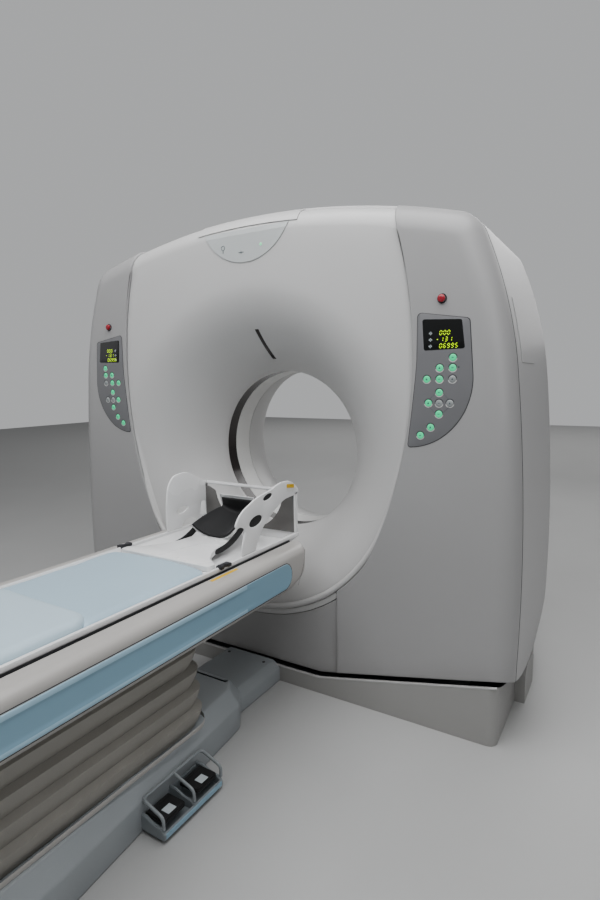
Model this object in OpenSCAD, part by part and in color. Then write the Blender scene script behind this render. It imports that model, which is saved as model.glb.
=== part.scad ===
// CT scanner: a tilting gantry with a round bore on a floor plinth, and a rising couch in front of it.
// The origin lies on the floor under the centre of the scan ring.
// +X points to the right as seen from the couch, +Y into the gantry, +Z up. Millimetres.

/* [Bore] */
// Height of the scan axis above the floor
iso_z = 950; // [945:1:960]
// Radius of the bore at the scan ring
bore_r = 360; // [345:1:365]
// Half length of the straight ring at the middle of the bore
rim_y = 47; // [44:1:56]
// Slope of the flare where it leaves the ring, in degrees from the axis
flare_a0 = 24.2; // [22:0.1:26]
// Radius of the inner part of the flare
flare_arc_r = 643; // [636:1:650]
// Half width of the dark scan window
window_half = 32.4; // [28:0.2:36]
// Distance from the scan plane to the joint between liner and rear flare
liner_y = 143; // [120:1:160]

/* [Gantry covers] */
// Half width of the gantry at its widest
gantry_half_w = 1082; // [1076:1:1090]
// Height of the top of the covers
gantry_top = 1940; // [1930:1:1960]
// Distance from the scan plane to the front face of the wings
front_y = 354; // [350:1:362]
// Distance from the scan plane to the rear face
rear_y = 492; // [484:1:510]
// Radius of the rolled front and rear edges
roll_r = 90; // [84:1:96]
// Wall of the moulded covers
wall = 6; // [4:0.5:7]
// How far the centre cover stands behind the wings
centre_step = 10; // [6:1:14]
// Radius of the top arc
top_arc_r = 3100; // [2900:10:3300]
// Radius of the lower side arc
side_arc_r = 7500; // [6500:50:8500]
// Height at which the gantry is widest
side_mid_z = 560; // [520:5:600]
// Height at which the side starts to lean in
side_break_z = 1290; // [1250:5:1330]
// Radius of the upper side arc
upper_arc_r = 1600; // [1500:10:1700]
// Radius of the shoulder
shoulder_r = 130; // [122:1:150]
// Clearance between the floor and the keel, the round underside that turns about the tilt axis
keel_floor = 13; // [11:1:16]
// Half width of the straight part of the keel
keel_half = 338; // [320:2:350]
// Fall of the keel radius for each millimetre towards the sides
keel_fall = 0.2; // [0.18:0.005:0.21]
// Radius of the seam arc between the centre cover and a wing
seam_arc_r = 1686; // [1680:1:1692]
// Distance from the middle to the seam arc at its widest
seam_half_w = 712; // [708:1:714]
// Height of the widest point of the seam arc
seam_mid_z = 1321; // [1315:1:1327]
// Radius of the round lower seam, about the scan axis
seam_low_r = 656; // [652:1:660]
// Half width of the lower front cover
lower_half_w = 413; // [405:1:420]
// Gap between two covers
seam_gap = 0.5; // [0.4:0.1:0.8]

/* [Tilt and plinth] */
// Half width of the plinth
plinth_half_w = 1034; // [1030:1:1040]
// Distance from the scan plane to the front of the plinth
plinth_front = 366; // [362:1:370]
// Distance from the scan plane to the rear of the plinth
plinth_rear = 470; // [460:1:480]
// Wall of the plinth panels
plinth_wall = 8; // [6:1:10]
// Clearance between keel and plinth
keel_gap = 15; // [12:1:18]
// Radius of a tilt pin
tilt_pin_r = 60; // [50:1:64]
// Radial clearance of a tilt pin in its stand
pin_clear = 0.05; // [0.03:0.01:0.09]
// Inner face of a tilt stand
stand_x = 930; // [925:1:940]
// Thickness of a tilt stand
stand_t = 80; // [70:1:86]
// Half depth of a tilt stand
stand_half_y = 70; // [66:1:72]
// Radius of an anchor hole in the plinth frame
anchor_r = 9; // [8:0.5:11]
// Distance from the middle to an anchor hole along X
anchor_x = 953; // [945:1:960]
// Distance from the scan plane to an anchor hole along Y
anchor_y = 260; // [240:5:270]

/* [Rotor] */
// Outer radius of the rotor drum
drum_r = 845; // [820:1:848]
// Distance from the scan plane to the front of the drum plate
drum_y = 110; // [105:1:118]
// Thickness of the drum plate
drum_t = 30; // [24:1:34]
// Radius of the bearing fit between rotor hub and bearing
hub_r = 432; // [425:1:436]
// Outer radius of the bearing
bearing_r = 470; // [462:1:475]
// Radius of the belt rim on the rotor
belt_rim_r = 500; // [490:1:510]
// Radius of the motor pulley
pulley_r = 45; // [40:1:50]
// Distance from the scan plane to the gantry frame plate
frame_y = 200; // [196:1:206]
// Thickness of the gantry frame plate
frame_t = 60; // [50:1:64]

/* [Control panels] */
// Radius of a panel button
button_r = 12.3; // [11:0.1:12.8]
// Clearance round a button
button_gap = 0.3; // [0.2:0.05:0.5]
// Travel of a button
button_travel = 2; // [1.5:0.1:2.4]
// Distance between button columns
button_dx = 44; // [42:0.5:46]
// Distance between button rows
button_dz = 37.5; // [36:0.5:39]
// Height of the emergency stop
estop_z = 1530; // [1525:1:1540]
// Distance from the middle to the emergency stop
estop_x = 814; // [808:1:820]
// Radius of the emergency stop
estop_r = 13; // [11:0.5:14]

/* [Couch] */
// Half width of the couch frame
couch_half_w = 330; // [325:1:336]
// Height of the underside of the couch frame
couch_low_z = 478; // [474:1:482]
// Height of the top of the couch frame
couch_high_z = 640; // [636:1:644]
// Distance from the scan plane to the nose of the couch frame
nose_y = 406; // [402:1:414]
// Length of the couch frame
couch_len = 2250; // [2150:10:2350]
// Depth of the curve under the nose in side view
nose_depth = 180; // [150:1:200]
// Half width of the tabletop
table_half_w = 240; // [234:1:244]
// Height of the tabletop edge
table_z = 656; // [652:1:660]
// Distance from the scan plane to the head end of the tabletop tray
tray_end_y = 345; // [342:1:348]
// Distance from the scan plane to the head end of the lying surface
table_end_y = 790; // [780:1:800]
// Height of the couch base sides
base_side_z = 95; // [90:1:105]
// Height of the couch base top
base_top_z = 150; // [145:1:155]
// Distance from the scan plane to the head end of the bellows
bellows_y = 900; // [890:1:915]
// Length of the bellows
bellows_len = 1450; // [1400:10:1500]
// Number of pleats of the bellows
pleats = 5; // [4:1:6]
// Depth of a pleat
pleat_depth = 24; // [16:1:28]

/* [Pedals] */
// Outer edge of the pedal tray
tray_x = 345; // [340:1:352]
// Head end of the pedal tray, before the scan plane
tray_y = 985; // [975:1:995]
// Length of the pedal tray
tray_len = 255; // [250:1:262]
// Length of a pedal along the couch
pedal_len = 92; // [86:1:96]
// Radius of a pedal pin
pedal_pin_r = 4; // [3.5:0.1:4.5]

/* [Hidden] */
fine = 96;
cover_color = [0.86, 0.85, 0.83];
wing_color = [0.80, 0.79, 0.78];
steel_color = [0.55, 0.57, 0.60];

// Outline of the gantry as arcs: centre, radius and angle, all about the right half
side_c = [gantry_half_w - side_arc_r, side_mid_z];
side_a0 = asin((245 - side_mid_z) / side_arc_r);
side_a1 = asin((side_break_z - side_mid_z) / side_arc_r);
upper_c = side_c + (side_arc_r - upper_arc_r) * [cos(side_a1), sin(side_a1)];
top_c = [0, gantry_top - top_arc_r];
gap_a = upper_arc_r - shoulder_r;
gap_b = top_arc_r - shoulder_r;
between = norm(upper_c - top_c);
along = (gap_b * gap_b - gap_a * gap_a + between * between) / (2 * between);
across = sqrt(gap_b * gap_b - along * along);
to_upper = (upper_c - top_c) / between;
shoulder_c = top_c + along * to_upper + across * [to_upper[1], -to_upper[0]];
upper_a2 = atan2(shoulder_c[1] - upper_c[1], shoulder_c[0] - upper_c[0]);
top_a3 = atan2(shoulder_c[1] - top_c[1], shoulder_c[0] - top_c[0]);

// Where the seam between centre cover and wing meets the top edge
seam_top_out = 630;
seam_top_in = 649;
seam_out_a = acos(seam_top_out / top_arc_r);
seam_in_a = acos(seam_top_in / (top_arc_r - roll_r));

keel_r = iso_z - keel_floor;
function blend(a, b, t) = a + (b - a) * t;
function on_arc(c, r, a) = [c[0] + r * cos(a), c[1] + r * sin(a)];

// A station on the outline: centre, radius, angle, and how the angle shifts towards the inside
function arc_station(c, r, a, da = 0) = [c[0], c[1], r, a, da];
side_stations = concat(
    [for (i = [0:6]) arc_station(side_c, side_arc_r, blend(side_a0, side_a1, i / 6))],
    [for (i = [1:3]) arc_station(upper_c, upper_arc_r, blend(side_a1, upper_a2, i / 3))],
    [for (i = [1:3]) arc_station(shoulder_c, shoulder_r, blend(upper_a2, top_a3, i / 3))],
    [for (i = [1:2]) arc_station(top_c, top_arc_r, blend(top_a3, seam_out_a, i / 2),
        (seam_in_a - seam_out_a) * i / 2)]);
side_n = len(side_stations);
function station(s, d) = let(a = s[3] + s[4] * d / roll_r)
    [s[0] + (s[2] - d) * cos(a), s[1] + (s[2] - d) * sin(a)];

// Radius of the keel at x, and height of a point on it
function keel_at(x) = keel_r - keel_fall * max(0, abs(x) - keel_half);
function keel_z(x, y, d = 0) = iso_z - sqrt(pow(keel_at(x) - d, 2) - y * y);

// Inner edge of a wing: straight below, round about the bore, then the long seam arc
seam_c = [seam_half_w - seam_arc_r, seam_mid_z];
function seam_x(z) = seam_c[0] + sqrt(seam_arc_r * seam_arc_r - pow(z - seam_mid_z, 2));
function low_seam_x(z) = sqrt(seam_low_r * seam_low_r - pow(iso_z - z, 2));
low_seam_z = iso_z - sqrt(seam_low_r * seam_low_r - lower_half_w * lower_half_w);
seam_join_z = 581;
seam_top_z = top_c[1] + sqrt(pow(top_arc_r - roll_r, 2) - seam_top_in * seam_top_in) - 2;
// How far a straight step of the wing's edge cuts inside its arc
seam_steps = 9;
seam_sag = pow((seam_top_z - seam_join_z) / seam_steps, 2) / (6 * seam_arc_r);
wing_edge = concat(
    [for (i = [0:2]) [lower_half_w, blend(keel_z(lower_half_w, front_y), low_seam_z, i / 2)]],
    [for (i = [1:3]) let(z = blend(low_seam_z, seam_join_z, i / 3)) [low_seam_x(z), z]],
    [for (i = [1:seam_steps]) let(z = blend(seam_join_z, seam_top_z, i / seam_steps)) [seam_x(z), z]]);

// A closed sheet between an outer and an inner grid of points
function joined(rows) = [for (r = rows) for (p = r) p];
module sheet(outer, inner, wrap = false, flip = false) {
    m = len(outer);
    n = len(outer[0]);
    o = m * n;
    cols = wrap ? n : n - 1;
    function id(i, j) = i * n + j % n;
    faces = concat(
        [for (i = [0:m - 2]) for (j = [0:cols - 1]) each
            [[id(i, j), id(i, j + 1), id(i + 1, j + 1)], [id(i, j), id(i + 1, j + 1), id(i + 1, j)]]],
        [for (i = [0:m - 2]) for (j = [0:cols - 1]) each
            [[o + id(i, j), o + id(i + 1, j + 1), o + id(i, j + 1)],
            [o + id(i, j), o + id(i + 1, j), o + id(i + 1, j + 1)]]],
        [for (j = [0:cols - 1]) each
            [[id(0, j), o + id(0, j), o + id(0, j + 1)], [id(0, j), o + id(0, j + 1), id(0, j + 1)]]],
        [for (j = [0:cols - 1]) each
            [[id(m - 1, j), o + id(m - 1, j + 1), o + id(m - 1, j)],
            [id(m - 1, j), id(m - 1, j + 1), o + id(m - 1, j + 1)]]],
        wrap ? [] : [for (i = [0:m - 2]) each
            [[id(i, 0), id(i + 1, 0), o + id(i + 1, 0)], [id(i, 0), o + id(i + 1, 0), o + id(i, 0)]]],
        wrap ? [] : [for (i = [0:m - 2]) each
            [[id(i, n - 1), o + id(i + 1, n - 1), id(i + 1, n - 1)],
            [id(i, n - 1), o + id(i, n - 1), o + id(i + 1, n - 1)]]]);
    polyhedron(concat(joined(outer), joined(inner)),
        flip ? [for (f = faces) [f[0], f[2], f[1]]] : faces, convexity = 8);
}

// Turns a shape drawn in the XY plane and extruded along Z so that it faces -Y: x stays, y becomes z
module facing_front(y0, t) {
    translate([0, y0 + t, 0]) rotate([90, 0, 0]) linear_extrude(t) children();
}
// Extrudes a shape drawn as (y, z) along X
module across_x(x0, t) {
    translate([x0, 0, 0]) rotate([90, 0, 90]) linear_extrude(t) children();
}
module along_y(x, z, y0, y1, r) {
    translate([x, y0, z]) rotate([-90, 0, 0]) cylinder(r = r, h = y1 - y0, $fn = fine);
}
module ring_y(r0, r1, y0, y1) {
    difference() {
        along_y(0, iso_z, y0, y1, r1);
        along_y(0, iso_z, y0 - 1, y1 + 1, r0);
    }
}
module mirrored(side) {
    mirror([side < 0 ? 1 : 0, 0, 0]) children();
}
module both_sides() {
    for (side = [-1, 1]) mirrored(side) children();
}

// Space swept by the keel, drawn about the tilt axis
module keel_space(extra) {
    far = 1200;
    r_far = keel_at(far) + extra;
    translate([0, 0, iso_z]) rotate([0, 90, 0]) rotate_extrude($fn = 180)
        polygon([[0, -far], [r_far, -far], [keel_r + extra, -keel_half],
            [keel_r + extra, keel_half], [r_far, far], [0, far]]);
}

// Plinth

plinth_beam_w = 140;
plinth_cross_w = 70;
plinth_cross_z = 38;
plinth_beam_z = 84;
plinth_inner_x = plinth_half_w - plinth_wall;
module base_frame() {
    long = 2 * (plinth_front + plinth_rear);
    color(steel_color) difference() {
        intersection() {
            union() {
                for (side = [-1, 1]) mirrored(side)
                    translate([plinth_inner_x - plinth_beam_w, -plinth_front - plinth_wall, 0])
                        cube([2 * plinth_beam_w, long, plinth_beam_z]);
                translate([-long, -plinth_front - plinth_wall, 0])
                    cube([2 * long, plinth_cross_w + 2 * plinth_wall, plinth_cross_z]);
                translate([-long, plinth_rear - plinth_wall - plinth_cross_w, 0])
                    cube([2 * long, 2 * plinth_cross_w, plinth_cross_z]);
            }
            linear_extrude(plinth_beam_z) plinth_plan(plinth_wall);
        }
        keel_space(keel_gap);
        for (x = [-anchor_x, anchor_x]) for (y = [-anchor_y, anchor_y])
            translate([x, y, -1]) cylinder(r = anchor_r, h = plinth_beam_z + 2, $fn = fine);
    }
}

plinth_corner = 35;
module plinth_plan(inset) {
    r = plinth_corner - inset;
    x = plinth_half_w - plinth_corner;
    difference() {
        union() {
            translate([-x, -plinth_front + inset]) square([2 * x, plinth_front + plinth_rear - 2 * inset]);
            translate([-x - r, -plinth_front + plinth_corner])
                square([2 * (x + r), plinth_front + plinth_rear - 2 * plinth_corner]);
            for (sx = [-x, x]) for (sy = [-plinth_front + plinth_corner, plinth_rear - plinth_corner])
                translate([sx, sy]) circle(r, $fn = fine);
        }
    }
}
module base_cover() {
    color(cover_color) difference() {
        linear_extrude(300) plinth_plan(0);
        translate([0, 0, -1]) linear_extrude(302) plinth_plan(plinth_wall);
        keel_space(keel_gap);
        translate([-bridge_half_w - seam_gap, -plinth_front - 1, -1])
            cube([2 * (bridge_half_w + seam_gap), plinth_wall + 2, bridge_z + seam_gap + 1]);
    }
}

stand_foot_z = plinth_beam_z;
module tilt_stand() {
    color(steel_color) difference() {
        union() {
            across_x(stand_x, stand_t) union() {
                polygon([[-stand_half_y, stand_foot_z], [stand_half_y, stand_foot_z],
                    [stand_half_y * 0.82, iso_z], [-stand_half_y * 0.82, iso_z]]);
                translate([0, iso_z]) circle(tilt_pin_r + 26, $fn = fine);
            }
            translate([stand_x - 34, -stand_half_y, stand_foot_z]) cube([stand_t + 40, 2 * stand_half_y, 16]);
        }
        across_x(stand_x - 1, stand_t + 2) translate([0, iso_z]) circle(tilt_pin_r + pin_clear, $fn = fine);
        for (z = [300, 520, 740]) across_x(stand_x + stand_t / 2, stand_t)
            translate([0, z]) circle(42, $fn = fine);
    }
}
module tilt_stand_left() { mirrored(-1) tilt_stand(); }
module tilt_stand_right() { mirrored(1) tilt_stand(); }

// The cable box stands beside the plinth and stays under the keel
cable_box_top = iso_z - keel_at(plinth_half_w) - keel_gap + 5;
cable_box_w = 38;
module cable_outline(inset) {
    polygon([[-30 + inset, -inset / 4], [160 - inset, -inset / 4], [160 - inset, cable_box_top - 30],
        [130, cable_box_top - inset], [0, cable_box_top - inset], [-30 + inset, cable_box_top - 30]]);
}
module cable_box() {
    color(cover_color) translate([plinth_half_w, 0, 0]) difference() {
        across_x(0, cable_box_w) cable_outline(0);
        across_x(-1, cable_box_w - 3) cable_outline(4);
        translate([16, 60, -1]) cube([10, 60, 40]);
    }
}

// Couch base

bridge_half_w = 149;
bridge_z = 84;
bridge_side_z = 55;
base_neck_half = 205;
base_foot_half = 280;
base_end_y = 2450;
column_half_x = 150;
column_y0 = 1400;
column_len = 420;
module couch_plan(inset) {
    polygon([[-base_neck_half + inset, -715], [-base_foot_half + inset, -1500],
        [-base_foot_half + inset, -base_end_y + 90], [-base_foot_half + 90, -base_end_y + inset],
        [base_foot_half - 90, -base_end_y + inset], [base_foot_half - inset, -base_end_y + 90],
        [base_foot_half - inset, -1500], [base_neck_half - inset, -715],
        [bridge_half_w - inset, -640 - inset], [-bridge_half_w + inset, -640 - inset]]);
}
module couch_base() {
    color([0.28, 0.31, 0.35]) difference() {
        union() {
            linear_extrude(base_side_z) couch_plan(0);
            hull() {
                translate([0, 0, base_side_z]) linear_extrude(0.5) couch_plan(0);
                translate([0, 0, base_top_z - 0.5]) linear_extrude(0.5) couch_plan(38);
            }
            facing_across_bridge();
        }
        translate([-column_half_x, -column_y0 - column_len, 12])
            cube([2 * column_half_x, column_len, base_top_z]);
        for (x = [-120, 120]) for (y = [-1000, -2200])
            translate([x, y, -1]) cylinder(r = 8, h = base_top_z + 2, $fn = fine);
    }
}
module facing_across_bridge() {
    facing_front(-720, 720 - plinth_front + plinth_wall) polygon([[-bridge_half_w, 0],
        [bridge_half_w, 0], [bridge_half_w, bridge_side_z], [bridge_half_w - 34, bridge_z],
        [-bridge_half_w + 34, bridge_z], [-bridge_half_w, bridge_side_z]]);
}

column_wall = 10;
column_gap = 0.5;
module column(z0, h, inset) {
    translate([-column_half_x + inset, -column_y0 - column_len + inset, z0]) difference() {
        cube([2 * (column_half_x - inset), column_len - 2 * inset, h]);
        translate([column_wall, column_wall, -1])
            cube([2 * (column_half_x - inset - column_wall), column_len - 2 * (inset + column_wall), h + 2]);
    }
}
module lift_column_lower() { color(steel_color) column(12, 298, 0); }
module lift_column_middle() { color(steel_color) column(95, 290, column_wall + column_gap); }

bellows_top_half = 205;
bellows_low_half = 236;
function rounded_ring(hw, y0, y1, r, z) = [for (q = [0:3]) for (i = [0:4])
    let(a = q * 90 + i * 22.5, sx = q == 0 || q == 3 ? 1 : -1, sy = q < 2 ? 1 : -1)
    [sx * (hw - r) + r * cos(a), (sy > 0 ? y1 - r : y0 + r) + r * sin(a), z]];
module bellows() {
    levels = 2 * pleats;
    z0 = base_top_z + 0.3;
    z1 = couch_low_z - 0.3;
    outer = [for (k = [0:levels]) let(t = k / levels, fold = k % 2 == 0 ? pleat_depth : 0)
        rounded_ring(blend(bellows_low_half, bellows_top_half, t) - fold,
            -bellows_y - bellows_len + fold, -bellows_y - fold, 70, blend(z0, z1, t))];
    inner = [for (k = [0:levels]) let(t = k / levels, fold = k % 2 == 0 ? pleat_depth : 0)
        rounded_ring(blend(bellows_low_half, bellows_top_half, t) - fold - 4,
            -bellows_y - bellows_len + fold + 4, -bellows_y - fold - 4, 66, blend(z0, z1, t))];
    color([0.72, 0.70, 0.65]) sheet(outer, inner, wrap = true, flip = true);
}

// Couch frame and tabletop

frame_end_y = nose_y + couch_len;
slot_half_w = table_half_w + 12;
slot_z = 596;
module couch_section() {
    w = couch_half_w;
    polygon([[-slot_half_w, couch_high_z], [-w + 30, couch_high_z], [-w + 12, couch_high_z - 7],
        [-w + 2, couch_high_z - 24], [-w, couch_high_z - 44], [-w, couch_low_z + 50],
        [-w + 8, couch_low_z + 22], [-w + 40, couch_low_z], [w - 40, couch_low_z],
        [w - 8, couch_low_z + 22], [w, couch_low_z + 50], [w, couch_high_z - 44],
        [w - 2, couch_high_z - 24], [w - 12, couch_high_z - 7], [w - 30, couch_high_z],
        [slot_half_w, couch_high_z], [slot_half_w, slot_z], [-slot_half_w, slot_z]]);
}
trim_low_z = 512;
trim_high_z = 605;
trim_end_y = nose_y + 140;
module trim_side(grow) {
    h = trim_high_z - trim_low_z;
    translate([-frame_end_y + 40 - grow, trim_low_z - grow])
        square([frame_end_y - trim_end_y - 40 - h / 2 + grow, h + 2 * grow]);
    translate([-trim_end_y - h / 2, trim_low_z + h / 2]) circle(h / 2 + grow, $fn = fine);
}
trim_depth = 6;
module couch_frame() {
    corner = 62;
    mid_z = 588;
    low = mid_z - couch_low_z;
    color([0.86, 0.84, 0.80]) difference() {
        union() {
            intersection() {
                facing_front(-frame_end_y, couch_len) couch_section();
                across_x(-couch_half_w, 2 * couch_half_w) polygon(concat([[-frame_end_y, couch_low_z],
                    [-frame_end_y, couch_high_z], [-nose_y - 8, couch_high_z],
                    [-nose_y - 2, couch_high_z - 20]], [for (i = [0:12])
                    [-nose_y - nose_depth * (1 - cos(7.5 * i)), mid_z - low * sin(7.5 * i)]]));
                translate([0, 0, couch_low_z - 1]) linear_extrude(300) union() {
                    translate([-couch_half_w, -frame_end_y]) square([2 * couch_half_w, couch_len - corner]);
                    translate([-couch_half_w + corner, -nose_y - corner - 1])
                        square([2 * (couch_half_w - corner), corner + 1]);
                    for (x = [-1, 1]) translate([x * (couch_half_w - corner), -nose_y - corner])
                        circle(corner, $fn = fine);
                }
            }
            column(170, couch_low_z - 170, 2 * (column_wall + column_gap));
        }
        both_sides() across_x(couch_half_w - trim_depth, trim_depth + 1) trim_side(0.3);
        translate([-145, -frame_end_y + 60, couch_low_z + 14])
            cube([290, couch_len - 260, slot_z - couch_low_z]);
    }
    color(steel_color) for (side = [-1, 1]) mirrored(side)
        translate([150, -frame_end_y + 60, slot_z - 30])
            cube([40, couch_len - 90, table_floor_z - 0.3 - slot_z + 30]);
}
module side_trim_strips() {
    color([0.42, 0.56, 0.66]) both_sides() difference() {
        across_x(couch_half_w - trim_depth, trim_depth + 2) trim_side(0);
        for (z = [trim_low_z + 30, trim_high_z - 30])
            across_x(couch_half_w - 2, 6) translate([-frame_end_y, z - 5])
                square([frame_end_y - trim_end_y - 220, 10]);
    }
}

table_floor_z = 612;
table_rear_y = frame_end_y - 12;
pad_seat_z = 640;
module tabletop() {
    w = table_half_w;
    tray = table_end_y - tray_end_y;
    color([0.90, 0.90, 0.89]) difference() {
        facing_front(-table_rear_y, table_rear_y - tray_end_y) polygon([[-w, table_z - 14], [-w, table_z - 2],
            [-w + 2, table_z], [w - 2, table_z], [w, table_z - 2], [w, table_z - 14],
            [w - 40, table_floor_z], [-w + 40, table_floor_z]]);
        facing_front(-table_rear_y - 1, table_rear_y - table_end_y + 1) polygon([[-w + 9, table_z + 1],
            [-w + 9, table_z], [-w + 13, pad_seat_z], [w - 13, pad_seat_z], [w - 9, table_z],
            [w - 9, table_z + 1]]);
        facing_front(-table_end_y - 0.01, tray - 11) polygon([[-w + 12, table_z + 1], [-w + 12, table_z - 12],
            [-w + 42, table_floor_z + 7], [w - 42, table_floor_z + 7], [w - 12, table_z - 12],
            [w - 12, table_z + 1]]);
    }
}

mattress_half = table_half_w - 14;
mattress_z = 672;
mattress_head_y = 864;
module mattress() {
    h = mattress_z - pad_seat_z - 0.3;
    sag = 30;
    color([0.66, 0.74, 0.79]) intersection() {
        facing_front(-table_rear_y + 30, table_rear_y - 30 - mattress_head_y + sag)
            polygon([[-mattress_half, pad_seat_z + 0.3], [mattress_half, pad_seat_z + 0.3],
                [mattress_half - 1, table_z], [mattress_half - 12, mattress_z - 4],
                [mattress_half - 50, mattress_z], [-mattress_half + 50, mattress_z],
                [-mattress_half + 12, mattress_z - 4], [-mattress_half + 1, table_z]]);
        translate([0, 0, pad_seat_z]) linear_extrude(h + 1) difference() {
            translate([-mattress_half, -table_rear_y + 30])
                square([2 * mattress_half, table_rear_y - 30 - mattress_head_y + sag]);
            translate([0, -mattress_head_y + 892]) circle(900, $fn = 180);
        }
    }
}

// Head holder: a tongue on the tabletop, a tilted cup, two sculpted arms, and an end wall below a bar

cup_r = 133;
cup_rim_half = 97;
cup_tilt = 19.4;
cup_len = 184;
cup_front_y = 592;
cup_low_z = 666;
pad_t = 9;
holder_t = 5;
// The cup lies along a tilted axis; this is a ring about that axis, cut off at the rim
module cup_ring(r0, r1, y0, y1, rise = 0) {
    rim = sqrt(cup_r * cup_r - cup_rim_half * cup_rim_half) - rise;
    translate([0, -cup_front_y, cup_low_z]) rotate([cup_tilt, 0, 0]) translate([0, 0, cup_r]) difference() {
        along_y(0, 0, y0, y1, r1);
        if (r0 > 0) along_y(0, 0, y0 - 1, y1 + 1, r0);
        translate([-r1 - 1, y0 - 2, -rim]) cube([2 * r1 + 2, y1 - y0 + 4, r1 + rim + 1]);
    }
}
arm_t = 8;
arm_x = table_half_w - 11;
// Side outline of an arm, as (y, z): its foot, the strap hook, the long upper edge, and back below
arm_side = [[-724, 0], [-719, 680], [-708, 712], [-696, 736], [-703, 756], [-726, 764], [-746, 760],
    [-750, 774], [-738, 792], [-724, 806], [-701, 820], [-665, 834], [-635, 845], [-585, 855], [-526, 864],
    [-492, 874], [-450, 880], [-399, 874], [-362, 853], [-tray_end_y + 11, 826], [-367, 812], [-437, 808],
    [-487, 791], [-536, 766], [-576, 741], [-602, 720], [-622, 692], [-636, 664], [-642, 0]];
module holder_arm() {
    intersection() {
        across_x(arm_x, arm_t) difference() {
            polygon(arm_side);
            translate([-632, 766]) circle(33, $fn = 48);
            translate([-556, 812]) circle(13, $fn = 48);
        }
        translate([arm_x - 1, -800, table_z + 0.3]) cube([arm_t + 2, 500, 300]);
    }
}
module head_holder() {
    low = table_z + 0.3;
    floor_z = table_floor_z + 7.3;
    post_y = -tray_end_y - 22;
    w = arm_x + 1;
    color([0.90, 0.90, 0.89]) {
        translate([0, 0, pad_seat_z + 0.3]) linear_extrude(table_z + 4 - pad_seat_z) intersection() {
            polygon([[-210, -900], [210, -900], [212, -832], [158, -799], [118, -740], [98, -689],
                [90, -600], [60, -560], [-60, -560], [-90, -600], [-98, -689], [-118, -740],
                [-158, -799], [-212, -832]]);
            translate([0, -mattress_head_y + 892]) circle(899.7, $fn = 180);
        }
        cup_ring(cup_r + pad_t, cup_r + pad_t + holder_t, 0, cup_len);
        cup_ring(0, cup_r + pad_t + holder_t, cup_len - 0.5, cup_len + 5, 25);
        translate([-arm_x - arm_t, -716, low]) cube([2 * (arm_x + arm_t), 66, 5]);
        both_sides() {
            holder_arm();
            translate([arm_x, post_y, low]) cube([arm_t, 20, 822 - low]);
        }
        translate([-w, post_y + 2, 818]) cube([2 * w, 16, 14]);
        facing_front(post_y + 1, 5) difference() {
            polygon([[-w, 820], [-w, low], [3 - w, low], [14 - w, 645], [34 - w, floor_z],
                [w - 34, floor_z], [w - 14, 645], [w - 3, low], [w, low], [w, 820]]);
            translate([0, 830]) circle(180, $fn = fine);
        }
    }
}
module head_pad() {
    color([0.06, 0.06, 0.07]) cup_ring(cup_r, cup_r + pad_t - 0.3, 6, cup_len - 1);
}

// Foot pedals

tray_x0 = 236;
tray_floor_z = 10;
pedal_x = 262;
pedal_z = 50;
pedal_out = 70;
pedal_mid = [-tray_y - 12 - pedal_len / 2, -tray_y - tray_len + 12 + pedal_len / 2];
module foot_pedal_tray() {
    color([0.36, 0.39, 0.43]) difference() {
        union() {
            difference() {
                translate([tray_x0, -tray_y - tray_len, tray_floor_z]) cube([tray_x - tray_x0, tray_len, 34]);
                translate([tray_x0 + 10, -tray_y - tray_len + 6, tray_floor_z + 6])
                    cube([tray_x - tray_x0 - 18, tray_len - 12, 60]);
            }
            for (y = pedal_mid) for (s = [-1, 1])
                translate([pedal_x - 9, y + s * (pedal_len / 2 + 3) - 2.5, tray_floor_z + 3])
                    cube([18, 5, pedal_z + 8 - tray_floor_z - 3]);
        }
        for (y = pedal_mid) along_y(pedal_x, pedal_z, y - pedal_len / 2 - 8, y + pedal_len / 2 + 8,
            pedal_pin_r + pin_clear);
        linear_extrude(60) couch_plan(0);
    }
}
module pedal(y) {
    color([0.05, 0.05, 0.06]) {
        translate([pedal_x - 5, y - pedal_len / 2, pedal_z - 5]) cube([pedal_out + 5, pedal_len, 12]);
        along_y(pedal_x, pedal_z, y - pedal_len / 2 - 5, y + pedal_len / 2 + 5, pedal_pin_r);
    }
}
module pedal_raise() { pedal(pedal_mid[0]); }
module pedal_lower() { pedal(pedal_mid[1]); }

guard_r = 5;
guard_z = 104;
// A round wire along a path: rings of points across the path, closed at both ends
function unit(v) = v / norm(v);
function bent(pts, r) = concat([pts[0]], [for (i = [1:len(pts) - 2]) each
    let(p = pts[i], a = p + r * unit(pts[i - 1] - p), b = p + r * unit(pts[i + 1] - p))
    [for (t = [0:0.25:1]) blend(blend(a, p, t), blend(p, b, t), t)]], [pts[len(pts) - 1]]);
module wire(pts, ref) {
    n = len(pts);
    m = 12;
    ring = [for (i = [0:n - 1]) let(t = unit(pts[min(i + 1, n - 1)] - pts[max(i - 1, 0)]),
        u = unit(cross(t, ref)), v = cross(t, u)) each
        [for (k = [0:m - 1]) pts[i] + guard_r * (cos(k * 360 / m) * u + sin(k * 360 / m) * v)]];
    polyhedron(ring, concat([[for (k = [0:m - 1]) k]],
        [for (i = [0:n - 2]) for (k = [0:m - 1]) each let(a = i * m + k, b = i * m + (k + 1) % m)
            [[a, a + m, b + m], [a, b + m, b]]],
        [[for (k = [m - 1:-1:0]) (n - 1) * m + k]]), convexity = 6);
}
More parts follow.
